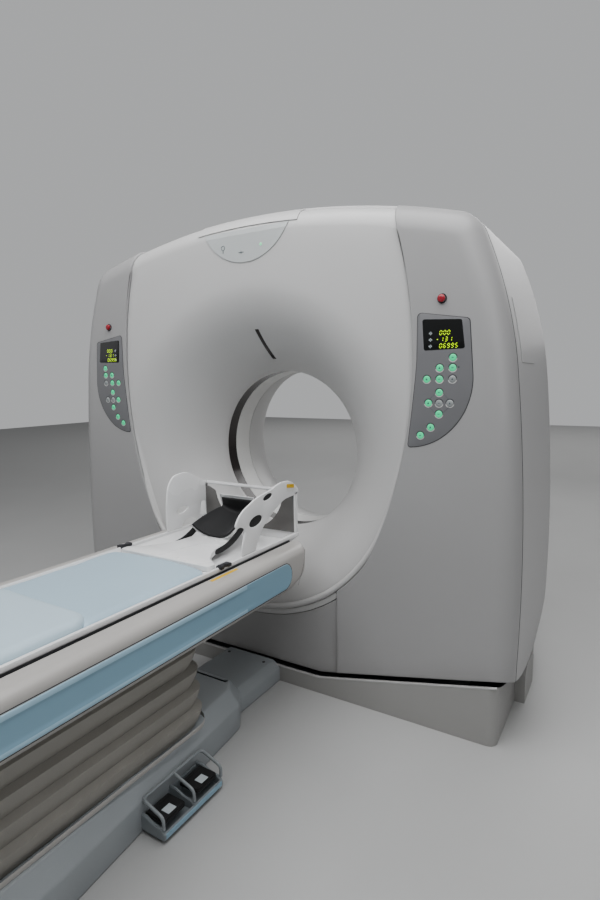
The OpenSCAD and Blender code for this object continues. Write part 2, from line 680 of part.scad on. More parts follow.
module pedal_guard() {
    x1 = tray_x - 6;
    x0 = tray_x0 + 24;
    foot = tray_floor_z + 34.3;
    ys = [-tray_y - tray_len + 5, -tray_y - tray_len / 2, -tray_y - 5];
    color([0.40, 0.43, 0.47]) {
        wire(bent([[x1, ys[0], foot], [x1, ys[0], guard_z - 26], [x0, ys[0], guard_z],
            [x0, ys[2], guard_z], [x1, ys[2], guard_z - 26], [x1, ys[2], foot]], 16), [0.5, 0, 0.86]);
        wire(bent([[x1, ys[1], foot], [x1, ys[1], guard_z - 26], [x0, ys[1], guard_z]], 16), [0, 1, 0]);
    }
}

// Gantry frame and drive

arm_x0 = drum_r + 23;
arm_x1 = stand_x - 18;
post_places = [[870, 400], [800, 1620]];
pulley_x = -640;
pulley_z = iso_z - 480;
shaft_r = 15;
module gantry_frame() {
    color(steel_color) {
        difference() {
            facing_front(frame_y, frame_t) polygon([[-880, 250], [880, 250], [arm_x1, 500], [arm_x1, 1200],
                [840, 1640], [560, 1820], [-560, 1820], [-840, 1640], [-arm_x1, 1200], [-arm_x1, 500]]);
            along_y(0, iso_z, frame_y - 1, frame_y + frame_t + 1, bearing_r);
            along_y(pulley_x, pulley_z, frame_y - 1, frame_y + frame_t + 1, shaft_r + 3);
            for (a = [30:60:330]) along_y(690 * cos(a), iso_z + 690 * sin(a), frame_y - 1,
                frame_y + frame_t + 1, 90);
        }
        both_sides() {
            translate([arm_x0, -90, iso_z - 100]) cube([arm_x1 - arm_x0, frame_y + 90, 200]);
            translate([arm_x0, 0, iso_z]) rotate([0, 90, 0])
                cylinder(r = tilt_pin_r, h = stand_x + stand_t - arm_x0, $fn = fine);
            for (p = post_places) {
                along_y(p[0], p[1], -front_y + wall, frame_y + 1, 20);
                along_y(p[0], p[1], frame_y + frame_t - 1, rear_y - wall, 20);
            }
        }
    }
}
module main_bearing() {
    color([0.7, 0.7, 0.72]) ring_y(hub_r + button_gap, bearing_r, frame_y - 15, frame_y + frame_t - 5);
}
module drive_motor() {
    y0 = frame_y + frame_t;
    color([0.25, 0.27, 0.30]) difference() {
        union() {
            along_y(pulley_x, pulley_z, y0, y0 + 12, 100);
            along_y(pulley_x, pulley_z, y0 + 11, y0 + 150, 82);
        }
        along_y(pulley_x, pulley_z, y0 - 1, y0 + 60, shaft_r + pin_clear);
    }
}
belt_y0 = drum_y + drum_t + 8;
belt_w = 26;
module motor_pulley() {
    color(steel_color) {
        along_y(pulley_x, pulley_z, belt_y0 - 2, belt_y0 + belt_w + 2, pulley_r);
        along_y(pulley_x, pulley_z, belt_y0, frame_y + frame_t + 50, shaft_r);
    }
}
belt_t = 6;
module belt_shape(grow) {
    hull() {
        translate([0, iso_z]) circle(belt_rim_r + grow, $fn = fine);
        translate([pulley_x, pulley_z]) circle(pulley_r + grow, $fn = fine);
    }
}
module drive_belt() {
    color([0.08, 0.08, 0.08]) facing_front(belt_y0, belt_w) difference() {
        belt_shape(button_gap + belt_t);
        belt_shape(button_gap);
    }
}

// Rotor

module rotor_drum() {
    color([0.62, 0.63, 0.66]) difference() {
        union() {
            ring_y(396, drum_r, drum_y, drum_y + drum_t);
            ring_y(drum_r - 26, drum_r, drum_y - 70, drum_y + 1);
            ring_y(396, hub_r, drum_y + drum_t - 1, frame_y + frame_t - 10);
            ring_y(belt_rim_r - 24, belt_rim_r, drum_y + drum_t - 1, belt_y0 + belt_w + 2);
        }
        for (a = [15:30:345]) along_y(600 * cos(a), iso_z + 600 * sin(a), drum_y - 1, drum_y + drum_t + 1, 46);
    }
}
tube_z = 610;
module xray_tube() {
    color([0.72, 0.72, 0.74]) {
        along_y(0, iso_z + tube_z, -160, drum_y, 96);
        along_y(0, iso_z + tube_z, -190, -159, 60);
        translate([-130, -70, iso_z + tube_z - 60]) cube([260, drum_y + 70, 120]);
        translate([-90, -36, iso_z + 392]) cube([180, 72, tube_z - 392 - 50]);
        translate([-90, 35, iso_z + 420]) cube([180, drum_y - 35, 80]);
    }
}
detector_half_a = 27;
module detector_array() {
    color([0.30, 0.33, 0.36]) difference() {
        union() {
            ring_y(640, 760, -60, 60);
            ring_y(690, 760, 59, drum_y);
        }
        for (side = [-1, 1]) mirrored(side) translate([0, 0, iso_z]) rotate([0, 90 - detector_half_a, 0])
            translate([-900, -100, 0]) cube([1800, 300, 900]);
        translate([-900, -100, iso_z - 200]) cube([1800, 300, 1200]);
    }
}
module hv_generators() {
    color([0.40, 0.44, 0.40]) for (side = [-1, 1]) mirrored(side) {
        translate([470, -130, iso_z - 60]) cube([220, drum_y + 130, 260]);
        along_y(580, iso_z + 240, -60, drum_y, 36);
    }
}

// Covers

centre_y = front_y - centre_step;
edge_r = 6;
roll_steps = 4;
function ray_out(th, c, r) = let(u = [sin(th), cos(th)], k = u * c)
    k + sqrt(k * k + r * r - c * c);
function seam_ray(th) = ray_out(th, seam_c - [0, iso_z], seam_arc_r - seam_gap - seam_sag);
function centre_edge(th) = let(a = abs(th))
    a > 99 ? min(seam_low_r - seam_gap - seam_sag, seam_ray(a)) : seam_ray(a);
corner_a = atan2(seam_top_in - seam_gap, seam_top_z - iso_z);
function polar(th, r, y) = [r * sin(th), -y, iso_z + r * cos(th)];
// The flare is two arcs: one from the ring to the knee, one from the knee to the flat front
knee_a = 50;
flare_c = [bore_r + flare_arc_r * cos(flare_a0), rim_y - flare_arc_r * sin(flare_a0)];
knee = flare_c + flare_arc_r * [-cos(knee_a), sin(knee_a)];
mouth_arc_r = (centre_y - knee[1]) / (1 - sin(knee_a));
mouth_c = knee + mouth_arc_r * [cos(knee_a), -sin(knee_a)];
function inner_flare(a, w) = flare_c + (flare_arc_r - w) * [-cos(a), sin(a)];
function outer_flare(a, w) = mouth_c + (mouth_arc_r - w) * [-cos(a), sin(a)];
function mouth_end_a(th) = acos(max(0, (mouth_c[0] - centre_edge(th) + edge_r + 8) / mouth_arc_r));
function face_depth(r) = mouth_c[1] + sqrt(pow(mouth_arc_r, 2) - pow(max(0, mouth_c[0] - r), 2));
function inner_row(th, t, w) = let(q = inner_flare(blend(flare_a0, knee_a, t), w)) polar(th, q[0], q[1]);
function outer_row(th, t, w) = let(q = outer_flare(blend(knee_a, mouth_end_a(th), t), w))
    polar(th, q[0], q[1]);
// Edge rows of the centre cover: rolled over the top, or turned in at the seams
function centre_edge_point(th, k, w) = abs(th) <= corner_a + 0.01
    ? let(a = 90 * k / roll_steps, r = roll_r - centre_step - w, d = roll_r - r * sin(a),
        x0 = ray_out(th, top_c - [0, iso_z], top_arc_r - roll_r) * sin(th),
        x = (x0 - (abs(th) < corner_a - 0.01 ? 0 : w * sign(th)))
            * (1 - (1 - seam_top_out / seam_top_in) * sin(a)))
        [x, -front_y + roll_r - r * cos(a), top_c[1] + sqrt(pow(top_arc_r - d, 2) - x * x)]
    : let(a = 90 * min(k, 2) / 2, e = centre_edge(th)) polar(th, e - edge_r + (edge_r - w) * sin(a),
        face_depth(e - edge_r) - edge_r + (edge_r - w) * cos(a) - (k > 2 ? 6 * (k - 2) : 0));
centre_angles = concat([for (i = [-4:4]) corner_a * i / 4],
    [for (i = [0:8]) blend(corner_a + 0.5, 100, i / 8)],
    [for (i = [1:19]) blend(100, 260, i / 20)],
    [for (i = [8:-1:0]) 360 - blend(corner_a + 0.5, 100, i / 8)]);
function wrap_a(a) = a > 180 ? a - 360 : a;
module front_center_cover() {
    function rows(w) = concat(
        [[for (a = centre_angles) polar(a, bore_r + w, window_half + seam_gap)]],
        [for (i = [0:3]) [for (a = centre_angles) inner_row(a, i / 3, w)]],
        [for (i = [1:4]) [for (a = centre_angles) outer_row(wrap_a(a), i / 4, w)]],
        [for (k = [0:roll_steps]) [for (a = centre_angles) centre_edge_point(wrap_a(a), k, w)]]);
    color(cover_color) difference() {
        sheet(rows(0), rows(wall), wrap = true, flip = true);
        laser_slit(slit_half_w + 0.3, 1.5, -6, wall + 6);
    }
}

function wing_rows(w) = let(n = side_n - 1) concat(
    [[for (j = [0:n]) let(p = wing_edge[j]) [p[0] + w, -front_y + 24, p[1]]]],
    [for (t = [0, 0.5]) [for (j = [0:n]) let(p = wing_edge[j], q = station(side_stations[j], roll_r),
        b = blend(p + (t == 0 ? [w, 0] : [0, 0]), q, t)) [b[0], -front_y + w, b[1]]]],
    [for (k = [0:4]) [for (j = [0:n]) let(a = 90 * k / 4, q = station(side_stations[j],
        roll_r - (roll_r - w) * sin(a))) [q[0], -front_y + roll_r - (roll_r - w) * cos(a), q[1]]]]);
// The lowest column of a cover follows the keel
function on_keel(rows) = [for (r = rows) [for (j = [0:len(r) - 1])
    j == 0 ? [r[0][0], r[0][1], keel_z(r[0][0], r[0][1])] : r[j]]];
module wing_cover() {
    color(wing_color) difference() {
        sheet(on_keel(wing_rows(0)), on_keel(wing_rows(wall)));
        facing_front(-front_y - 1, wall + 2) panel_shape(1.5);
        along_y(estop_x, estop_z, -front_y - 1, -front_y + wall + 1, estop_r + 3);
    }
}
module front_left_cover() { mirrored(-1) wing_cover(); }
module front_right_cover() { mirrored(1) wing_cover(); }

module lower_front_cover() {
    w = lower_half_w - seam_gap;
    y = centre_y - 2;
    color(wing_color) intersection() {
        facing_front(-y, wall) difference() {
            translate([-w, 0]) square([2 * w, low_seam_z]);
            translate([0, iso_z]) circle(seam_low_r, $fn = 180);
        }
        difference() {
            translate([-w, -y, 0]) cube([2 * w, wall, 600]);
            translate([0, 0, -1]) linear_extrude(0.5) square(1);
        }
        keel_space(0);
    }
}

side_y0 = -front_y + roll_r + seam_gap;
side_y1 = rear_y - roll_r - seam_gap;
module side_cover() {
    function rows(d) = [for (t = [0:3]) [for (s = side_stations) let(q = station(s, d))
        [q[0], blend(side_y0, side_y1, t / 3), q[1]]]];
    color(wing_color) sheet(on_keel(rows(0)), on_keel(rows(wall)));
}
module side_cover_left() { mirrored(-1) side_cover(); }
module side_cover_right() { mirrored(1) side_cover(); }

function top_z(x, d) = top_c[1] + sqrt(pow(top_arc_r - d, 2) - x * x);
module top_cover() {
    w = seam_top_out - seam_gap;
    color(cover_color) sheet(
        [for (y = [side_y0, side_y1]) [for (i = [-8:8]) [w * i / 8, y, top_z(w * i / 8, 0)]]],
        [for (y = [side_y0, side_y1]) [for (i = [-8:8]) [w * i / 8, y, top_z(w * i / 8, wall)]]], flip = true);
}

// The status panel is a round segment that follows the front face and the start of its roll
status_chord_z = 1871;
status_half_w = 208;
status_drop = 129;
status_r = (status_half_w * status_half_w + status_drop * status_drop) / (2 * status_drop);

hatch_half_w = 245;
hatch_t = 4;
// The hatch lies over the rolled edge of the centre cover and ends above the status panel
hatch_low_z = status_chord_z + 3 + pow(status_half_w, 2) / (2 * (top_arc_r - roll_r));
hatch_front_a = asin((hatch_low_z - (gantry_top - roll_r)) / (roll_r - centre_step));
function hatch_point(x, a, lift) = let(r = roll_r - centre_step + lift, d = roll_r - r * sin(a))
    [x, -front_y + roll_r - r * cos(a), top_z(x, d)];
module top_hatch() {
    function rows(lift) = [for (k = [0:9]) [for (i = [-4:4])
        hatch_point(hatch_half_w * i / 4, blend(hatch_front_a, 90, k / 9), lift)]];
    color(cover_color) sheet(rows(hatch_t), rows(0.8), flip = true);
}

rear_flare_r = 640;
rear_samples = concat(
    [for (i = [4:-1:1]) arc_station(top_c, top_arc_r, blend(top_a3, 90, i / 4))],
    [for (i = [3:-1:1]) arc_station(shoulder_c, shoulder_r, blend(upper_a2, top_a3, i / 3))],
    [for (i = [3:-1:1]) arc_station(upper_c, upper_arc_r, blend(side_a1, upper_a2, i / 3))],
    [for (i = [5:-1:0]) arc_station(side_c, side_arc_r, blend(side_a0, side_a1, i / 5))]);
low_steps = 7;
function rear_half(k, w) = concat(
    [for (i = [0:len(rear_samples) - 1]) let(a = 90 * k / 4, q = station(rear_samples[i],
        roll_r - (roll_r - w) * sin(a)), y = rear_y - roll_r + (roll_r - w) * cos(a))
        [q[0], y, i < len(rear_samples) - 1 ? q[1] : keel_z(q[0], y, w)]],
    [for (i = [1:low_steps]) let(a = 90 * k / 4, y = rear_y - roll_r + (roll_r - w) * cos(a),
        x = blend(station(rear_samples[len(rear_samples) - 1], roll_r)[0], 0, i / low_steps))
        [x, y, keel_z(x, y, w)]]);
function both_halves(h) = concat(h, [for (i = [len(h) - 2:-1:1]) [-h[i][0], h[i][1], h[i][2]]]);
function rear_flare(p, t, w) = let(th = atan2(p[0], p[2] - iso_z), fr = rear_flare_r - bore_r,
    fd = rear_y - liner_y, nrm = [fd * cos(90 * t), -fr * sin(90 * t)],
    q = [bore_r + fr * (1 - cos(90 * t)), liner_y + seam_gap + (fd - seam_gap) * sin(90 * t)]
        + w * nrm / norm(nrm)) [q[0] * sin(th), q[1], iso_z + q[0] * cos(th)];
module rear_cover() {
    edge = both_halves(rear_half(0, 0));
    function rows(w) = concat(
        [for (i = [0:5]) [for (p = edge) rear_flare(p, i / 5, w)]],
        [for (k = [0:4]) both_halves(rear_half(k, w))]);
    color(cover_color) sheet(rows(0), rows(wall), wrap = true);
}

module bore_liner() {
    color(cover_color) ring_y(bore_r, bore_r + wall, window_half + seam_gap, liner_y);
}
module scan_window() {
    color([0.07, 0.05, 0.05]) ring_y(bore_r, bore_r + 4, -window_half, window_half);
}
// The laser slit lies in the middle plane of the flare, above the bore
slit_half_w = 7;
slit_a0 = 34;
slit_a1 = 49.5;
module laser_slit(half_w, more, w0, w1) {
    function edge(w) = [for (i = [0:8]) let(q = inner_flare(blend(slit_a0, slit_a1, i / 8)
        + more * (i / 4 - 1) / 10, w)) [-q[1], iso_z + q[0]]];
    across_x(-half_w, 2 * half_w) polygon(concat(edge(w0), [for (i = [8:-1:0]) edge(w1)[i]]));
}
module laser_window() { color([0.05, 0.04, 0.05]) laser_slit(slit_half_w, 0, 1.5, wall - 0.5); }

function front_depth(x, z, lift) = let(r = roll_r - centre_step,
    d = top_arc_r - norm([x, z] - top_c), q = min(0.99, max(0, (roll_r - d) / r)))
    front_y - roll_r + r * sqrt(1 - q * q) + lift;
module status_panel() {
    function width_at(z) = sqrt(pow(status_r, 2) - pow(status_chord_z - status_drop + status_r - z, 2));
    function rows(lift) = [for (k = [0:10]) let(z = status_chord_z - status_drop + 1
        + (status_drop - 1) * pow(k / 10, 1.5), w = width_at(z))
        [for (i = [-4:4]) [w * i / 4, -front_depth(w * i / 4, z, lift), z]]];
    color([0.70, 0.71, 0.72]) sheet(rows(3), rows(0.8), flip = true);
}

module side_hatches() {
    function rows(d) = [for (y = [-190, 60]) [for (i = [0:6])
        let(q = on_arc(upper_c, upper_arc_r - d, side_a1 + 1 + 8 * i / 6)) [q[0], y, q[1]]]];
    color(wing_color) both_sides() sheet(rows(-2.3), rows(-0.3));
}

// Control panels

panel_in_x = 731;
panel_top_z = 1489;
panel_knee_z = 1300;
panel_tip = [700, 1028];
panel_wide = [922, 1267];
panel_out = [907, 1460];
panel_proud = 2;
panel_t = 18;
function panel_points(g) = concat(
    [[panel_tip[0] - g, panel_tip[1] - g], [panel_in_x - g, panel_knee_z], [panel_in_x - g, panel_top_z + g],
        [panel_out[0] + g, panel_out[1] + g]],
    [for (i = [0:12]) let(a = -90 * i / 12) [panel_tip[0] + (panel_wide[0] - panel_tip[0] + g) * cos(a),
        panel_wide[1] + (panel_wide[1] - panel_tip[1] + g) * sin(a)]]);
module panel_shape(g) { polygon(panel_points(g)); }
button_x0 = 767;
button_z0 = 1264;
cross_x = 811;
cross_z = 1183;
button_places = [
    [button_x0 + 2 * button_dx, button_z0 + 1.9 * button_dz],
    [button_x0 + button_dx, button_z0 + button_dz], [button_x0 + 2 * button_dx, button_z0 + button_dz],
    [button_x0, button_z0], [button_x0 + button_dx, button_z0], [button_x0 + 2 * button_dx, button_z0],
    [cross_x, cross_z + 36], [cross_x - 37, cross_z], [cross_x, cross_z], [cross_x + 37, cross_z],
    [cross_x, cross_z - 37], [783, 1100], [747, 1071]];
display_points = [[748, 1466], [882, 1459], [894, 1364], [755, 1361]];
display_t = 2;
module control_panel() {
    color([0.74, 0.74, 0.73]) {
        difference() {
            union() {
                facing_front(-front_y - panel_proud, panel_t) panel_shape(0);
                facing_front(-front_y + wall + 0.1, panel_t - panel_proud - wall - 0.1) panel_shape(3.5);
            }
            facing_front(-front_y - panel_proud - 1, display_t + 1) polygon(display_points);
            for (p = button_places) {
                along_y(p[0], p[1], -front_y - panel_proud - 1, -front_y - panel_proud + 10,
                    button_r + button_gap);
                along_y(p[0], p[1], -front_y - panel_proud - 1, -front_y - panel_proud + 1.2, button_r + 2.6);
            }
        }
        difference() {
            along_y(estop_x, estop_z, -front_y - 3, -front_y + wall + 14, estop_r + 2.6);
            along_y(estop_x, estop_z, -front_y - 4, -front_y + wall + 10, estop_stem_r + button_gap);
        }
    }
}
estop_stem_r = 8;
button_proud = 1.6;
module panel_button(i) {
    p = button_places[i];
    color([0.35, 0.75, 0.55]) along_y(p[0], p[1], -front_y - panel_proud - button_proud,
        -front_y - panel_proud + 10 - button_travel - 0.3, button_r);
}
module fused_button(i) {
    p = button_places[i];
    color([0.35, 0.75, 0.55]) along_y(p[0], p[1], -front_y - panel_proud - button_proud,
        -front_y - panel_proud + 10.5, button_r + button_gap);
}
module control_panel_left() {
    mirrored(-1) {
        control_panel();
        for (i = [0:len(button_places) - 1]) fused_button(i);
    }
}
module control_panel_right() { mirrored(1) control_panel(); }
module panel_displays() {
    color([0.03, 0.03, 0.03]) both_sides() facing_front(-front_y - panel_proud - 0.4, display_t + 0.4)
        polygon(display_points);
}
estop_travel = 3;
module estop() {
    color([0.65, 0.10, 0.15]) {
        along_y(estop_x, estop_z, -front_y - 14, -front_y - 3 - estop_travel - 0.5, estop_r);
        along_y(estop_x, estop_z, -front_y - 8, -front_y + wall + 10 - estop_travel - 0.5, estop_stem_r);
    }
}
module estop_left() { mirrored(-1) estop(); }
module estop_right() { mirrored(1) estop(); }

base_frame();
base_cover();
tilt_stand_left();
tilt_stand_right();
cable_box();
couch_base();
foot_pedal_tray();
pedal_guard();
lift_column_lower();
lift_column_middle();
bellows();
couch_frame();
side_trim_strips();
tabletop();
mattress();
head_holder();
head_pad();
pedal_raise();
pedal_lower();
gantry_frame();
front_center_cover();
lower_front_cover();
front_left_cover();
front_right_cover();
side_cover_left();
side_cover_right();
top_cover();
top_hatch();
rear_cover();
bore_liner();
scan_window();
laser_window();
status_panel();
control_panel_left();
control_panel_right();
panel_displays();
side_hatches();
rotor_drum();
xray_tube();
detector_array();
hv_generators();
main_bearing();
drive_motor();
motor_pulley();
drive_belt();
estop_left();
estop_right();
panel_button(0);  // right_button_01
panel_button(1);  // right_button_02
panel_button(2);  // right_button_03
panel_button(3);  // right_button_04
panel_button(4);  // right_button_05
panel_button(5);  // right_button_06
panel_button(6);  // right_button_07
panel_button(7);  // right_button_08
panel_button(8);  // right_button_09
panel_button(9);  // right_button_10
panel_button(10);  // right_button_11
panel_button(11);  // right_button_12
panel_button(12);  // right_button_13
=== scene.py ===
import bpy, bmesh
import numpy as np
from math import sin, cos, tan, asin, acos, atan2, radians, sqrt, pi
from mathutils import Vector, Matrix


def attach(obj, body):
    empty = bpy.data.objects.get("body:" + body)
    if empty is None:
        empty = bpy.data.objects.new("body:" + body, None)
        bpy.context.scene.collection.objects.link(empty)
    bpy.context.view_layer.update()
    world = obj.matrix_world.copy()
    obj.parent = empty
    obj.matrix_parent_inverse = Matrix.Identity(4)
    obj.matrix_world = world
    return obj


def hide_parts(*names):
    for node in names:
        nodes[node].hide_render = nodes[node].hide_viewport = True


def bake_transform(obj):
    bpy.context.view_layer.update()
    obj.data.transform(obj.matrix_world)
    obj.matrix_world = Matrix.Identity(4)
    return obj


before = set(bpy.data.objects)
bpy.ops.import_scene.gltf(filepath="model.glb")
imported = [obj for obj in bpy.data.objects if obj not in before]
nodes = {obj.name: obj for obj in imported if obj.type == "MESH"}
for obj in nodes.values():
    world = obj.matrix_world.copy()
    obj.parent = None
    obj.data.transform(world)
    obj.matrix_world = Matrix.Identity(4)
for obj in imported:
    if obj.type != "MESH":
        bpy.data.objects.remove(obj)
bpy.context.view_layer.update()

scene = bpy.context.scene
mm = 0.001

# The camera, solved from the photograph: place in mm, turns in degrees, focal length in pixels
view = dict(place=(1390.6, -2221.0, 1265.1), yaw=31.3062, pitch=7.1150, roll=-0.6757, focal=556.636,
            pictureHigh=900)

def placeCamera(v):
    yaw, pitch, roll = (radians(v[k]) for k in ("yaw", "pitch", "roll"))
    ahead0, right0 = Vector((-sin(yaw), cos(yaw), 0)), Vector((cos(yaw), sin(yaw), 0))
    ahead = ahead0 * cos(pitch) - Vector((0, 0, 1)) * sin(pitch)
    up = ahead0 * sin(pitch) + Vector((0, 0, 1)) * cos(pitch)
    x, y = right0 * cos(roll) + up * sin(roll), up * cos(roll) - right0 * sin(roll)
    cam = bpy.data.objects.new("camera", bpy.data.cameras.new("camera"))
    cam.data.sensor_width = 36.0
    cam.data.lens = v["focal"] / v["pictureHigh"] * cam.data.sensor_width
    cam.data.clip_start, cam.data.clip_end = 0.05, 60
    cam.matrix_world = Matrix((x, y, -ahead)).transposed().to_4x4()
    cam.location = Vector(v["place"]) * mm
    scene.collection.objects.link(cam)
    scene.camera = cam

placeCamera(view)

# Soft area lights, and a faint room light with a paler backdrop
lights = dict(
    ceiling=dict(at=(0.3, -1.5, 3.6), aim=(0.0, -0.4, 0.8), size=(4.2, 3.2), power=148, tint=(0.985, 0.99, 1.0)),
    window=dict(at=(3.9, -2.3, 2.3), aim=(0.3, -0.6, 0.9), size=(2.2, 2.4), power=24, tint=(0.97, 0.985, 1.0)),
    door=dict(at=(-4.0, -1.8, 2.0), aim=(0.0, -0.6, 0.8), size=(2.4, 2.4), power=8, tint=(0.98, 0.99, 1.0)),
    behind=dict(at=(0.4, 4.2, 2.8), aim=(0.0, 0.3, 1.0), size=(3.4, 2.2), power=30, tint=(1.0, 1.0, 1.0)),
    far=dict(at=(0.0, 9.0, 5.5), aim=(0.0, 9.001, 0.0), size=(16.0, 8.0), power=420, tint=(1.0, 1.0, 1.0)))

for name, light in lights.items():
    lamp = bpy.data.lights.new(name, "AREA")
    lamp.shape, (lamp.size, lamp.size_y) = "RECTANGLE", light["size"]
    lamp.energy, lamp.color = light["power"], light["tint"]
    stand = bpy.data.objects.new(name, lamp)
    stand.location = light["at"]
    stand.rotation_euler = (Vector(light["aim"]) - stand.location).to_track_quat("-Z", "Y").to_euler()
    scene.collection.objects.link(stand)

studio = dict(tint=(0.80, 0.81, 0.82), light=0.30, backdrop=0.60, exposure=-0.30)
scene.view_settings.view_transform = "AgX"
scene.view_settings.look = "AgX - Medium High Contrast"
scene.view_settings.exposure = studio["exposure"]

# A shader node with its settings; an input takes a value or another node's output
def addNode(tree, kind, inputs, **settings):
    n = tree.nodes.new("ShaderNode" + kind)
    for k, v in settings.items():
        setattr(n, k, v)
    for k, v in inputs.items():
        if isinstance(v, bpy.types.NodeSocket):
            tree.links.new(v, n.inputs[k])
        elif v is not None:
            n.inputs[k].default_value = v
    return n

def mathNode(tree, op, a, b=None, clamp=False):
    return addNode(tree, "Math", {0: a, 1: b}, operation=op, use_clamp=clamp).outputs[0]

def noiseNode(tree, pos, scale, detail=3.0, rough=0.55):
    inputs = {"Vector": pos, "Scale": scale, "Detail": detail, "Roughness": rough}
    return addNode(tree, "TexNoise", inputs).outputs["Fac"]

def rangeNode(tree, value, low, high):
    return addNode(tree, "MapRange", {"Value": value, "To Min": low, "To Max": high}).outputs[0]

def mixColor(tree, factor, a, b):
    ends = [(*c, 1) if isinstance(c, tuple) else c for c in (a, b)]
    return addNode(tree, "Mix", {0: factor, 6: ends[0], 7: ends[1]}, data_type="RGBA").outputs[2]

def rampNode(tree, value, stops):
    n = addNode(tree, "ValToRGB", {0: value})
    for element, (at, level) in zip(n.color_ramp.elements, stops):
        element.position, element.color = at, (level, level, level, 1)
    return n.outputs[0]

room = bpy.data.worlds.new("room")
room.use_nodes = True
sky = room.node_tree.nodes["Background"]
sky.inputs["Color"].default_value = (*studio["tint"], 1)
sight = addNode(room.node_tree, "LightPath", {}).outputs["Is Camera Ray"]
skyLevel = rangeNode(room.node_tree, sight, studio["light"], studio["backdrop"])
room.node_tree.links.new(skyLevel, sky.inputs["Strength"])
scene.world = room

# Shared effects, each built once: they give out only heights and masks
def effectGroup(name, inputs, outputs):
    group = bpy.data.node_groups.new(name, "ShaderNodeTree")
    for n, v in inputs.items():
        group.interface.new_socket(name=n, in_out="INPUT", socket_type="NodeSocketFloat").default_value = v
    for n in outputs:
        group.interface.new_socket(name=n, in_out="OUTPUT", socket_type="NodeSocketFloat")
    taken, given = group.nodes.new("NodeGroupInput"), group.nodes.new("NodeGroupOutput")
    pos = addNode(group, "TexCoord", {}).outputs["Object"]
    return group, taken.outputs, pos, lambda out, value: group.links.new(value, given.inputs[out])

# Moulded grain: the fine pebble of sprayed covers and textured plastic
grain, taken, pos, give = effectGroup("moulded grain", dict(Scale=900.0, Wave=6.0, Depth=0.5), ("Height", "Shade"))
fineNoise = noiseNode(grain, pos, taken["Scale"], 2.0, 0.6)
waveNoise = noiseNode(grain, pos, taken["Wave"], 1.0, 0.4)
give("Height", mathNode(grain, "ADD", mathNode(grain, "MULTIPLY", fineNoise, taken["Depth"]),
                        mathNode(grain, "MULTIPLY", waveNoise, 0.35)))
give("Shade", fineNoise)

# Handling: soft dirt towards the floor, faint scuffs and cloudy variation
handling, taken, pos, give = effectGroup("handling", dict(Floor=0.35, Spread=0.25, Scuff=0.5),
                                         ("Dirt", "Cloud", "Scuffs"))
height = addNode(handling, "SeparateXYZ", {0: pos}).outputs["Z"]
rise = mathNode(handling, "DIVIDE", mathNode(handling, "SUBTRACT", taken["Floor"], height), taken["Spread"], True)
give("Dirt", mathNode(handling, "MULTIPLY", rise, noiseNode(handling, pos, 7.0, 5.0, 0.6), True))
give("Cloud", noiseNode(handling, pos, 2.2, 4.0, 0.5))
stretch = addNode(handling, "Mapping", {"Vector": pos, "Scale": (60, 14, 110), "Rotation": (0.4, 0.2, 0.7)})
lines = rampNode(handling, noiseNode(handling, stretch.outputs[0], 1.0, 6.0, 0.7), [(0.66, 0.0), (0.74, 1.0)])
give("Scuffs", mathNode(handling, "MULTIPLY", lines, taken["Scuff"]))

# Vinyl: small leather-like cells with fine creases
vinyl, taken, pos, give = effectGroup("vinyl grain", dict(Scale=420.0, Crease=0.4), ("Height", "Cells"))
cells = addNode(vinyl, "TexVoronoi", {"Vector": pos, "Scale": taken["Scale"]}, feature="DISTANCE_TO_EDGE")
cellRamp = rampNode(vinyl, cells.outputs["Distance"], [(0.0, 0.0), (0.35, 1.0)])
creases = mathNode(vinyl, "MULTIPLY", noiseNode(vinyl, pos, 16.0, 6.0, 0.65), taken["Crease"])
give("Height", mathNode(vinyl, "ADD", mathNode(vinyl, "MULTIPLY", cellRamp, 0.5), creases))
give("Cells", cellRamp)

# Brushed: long fine lines of machined or rolled metal
brushed, taken, pos, give = effectGroup("brushed metal", dict(Along=8.0, Across=700.0), ("Height", "Streak"))
finer = addNode(brushed, "CombineXYZ", {0: taken["Across"], 1: taken["Along"], 2: taken["Across"]})
scaled = addNode(brushed, "VectorMath", {0: pos, 1: finer.outputs[0]}, operation="MULTIPLY")
streak = noiseNode(brushed, scaled.outputs[0], 1.0, 3.0, 0.6)
give("Height", streak)
give("Streak", streak)

# Each kind of finish: its shared effect, the output that tints it, and the effect's inputs
kinds = dict(vinyl=(vinyl, "Cells", dict(Scale="scale", Crease="depth")),
             brushed=(brushed, "Streak", dict(Along="along", Across="across")),
             grain=(grain, "Shade", dict(Scale="scale", Wave="wave", Depth="depth")))

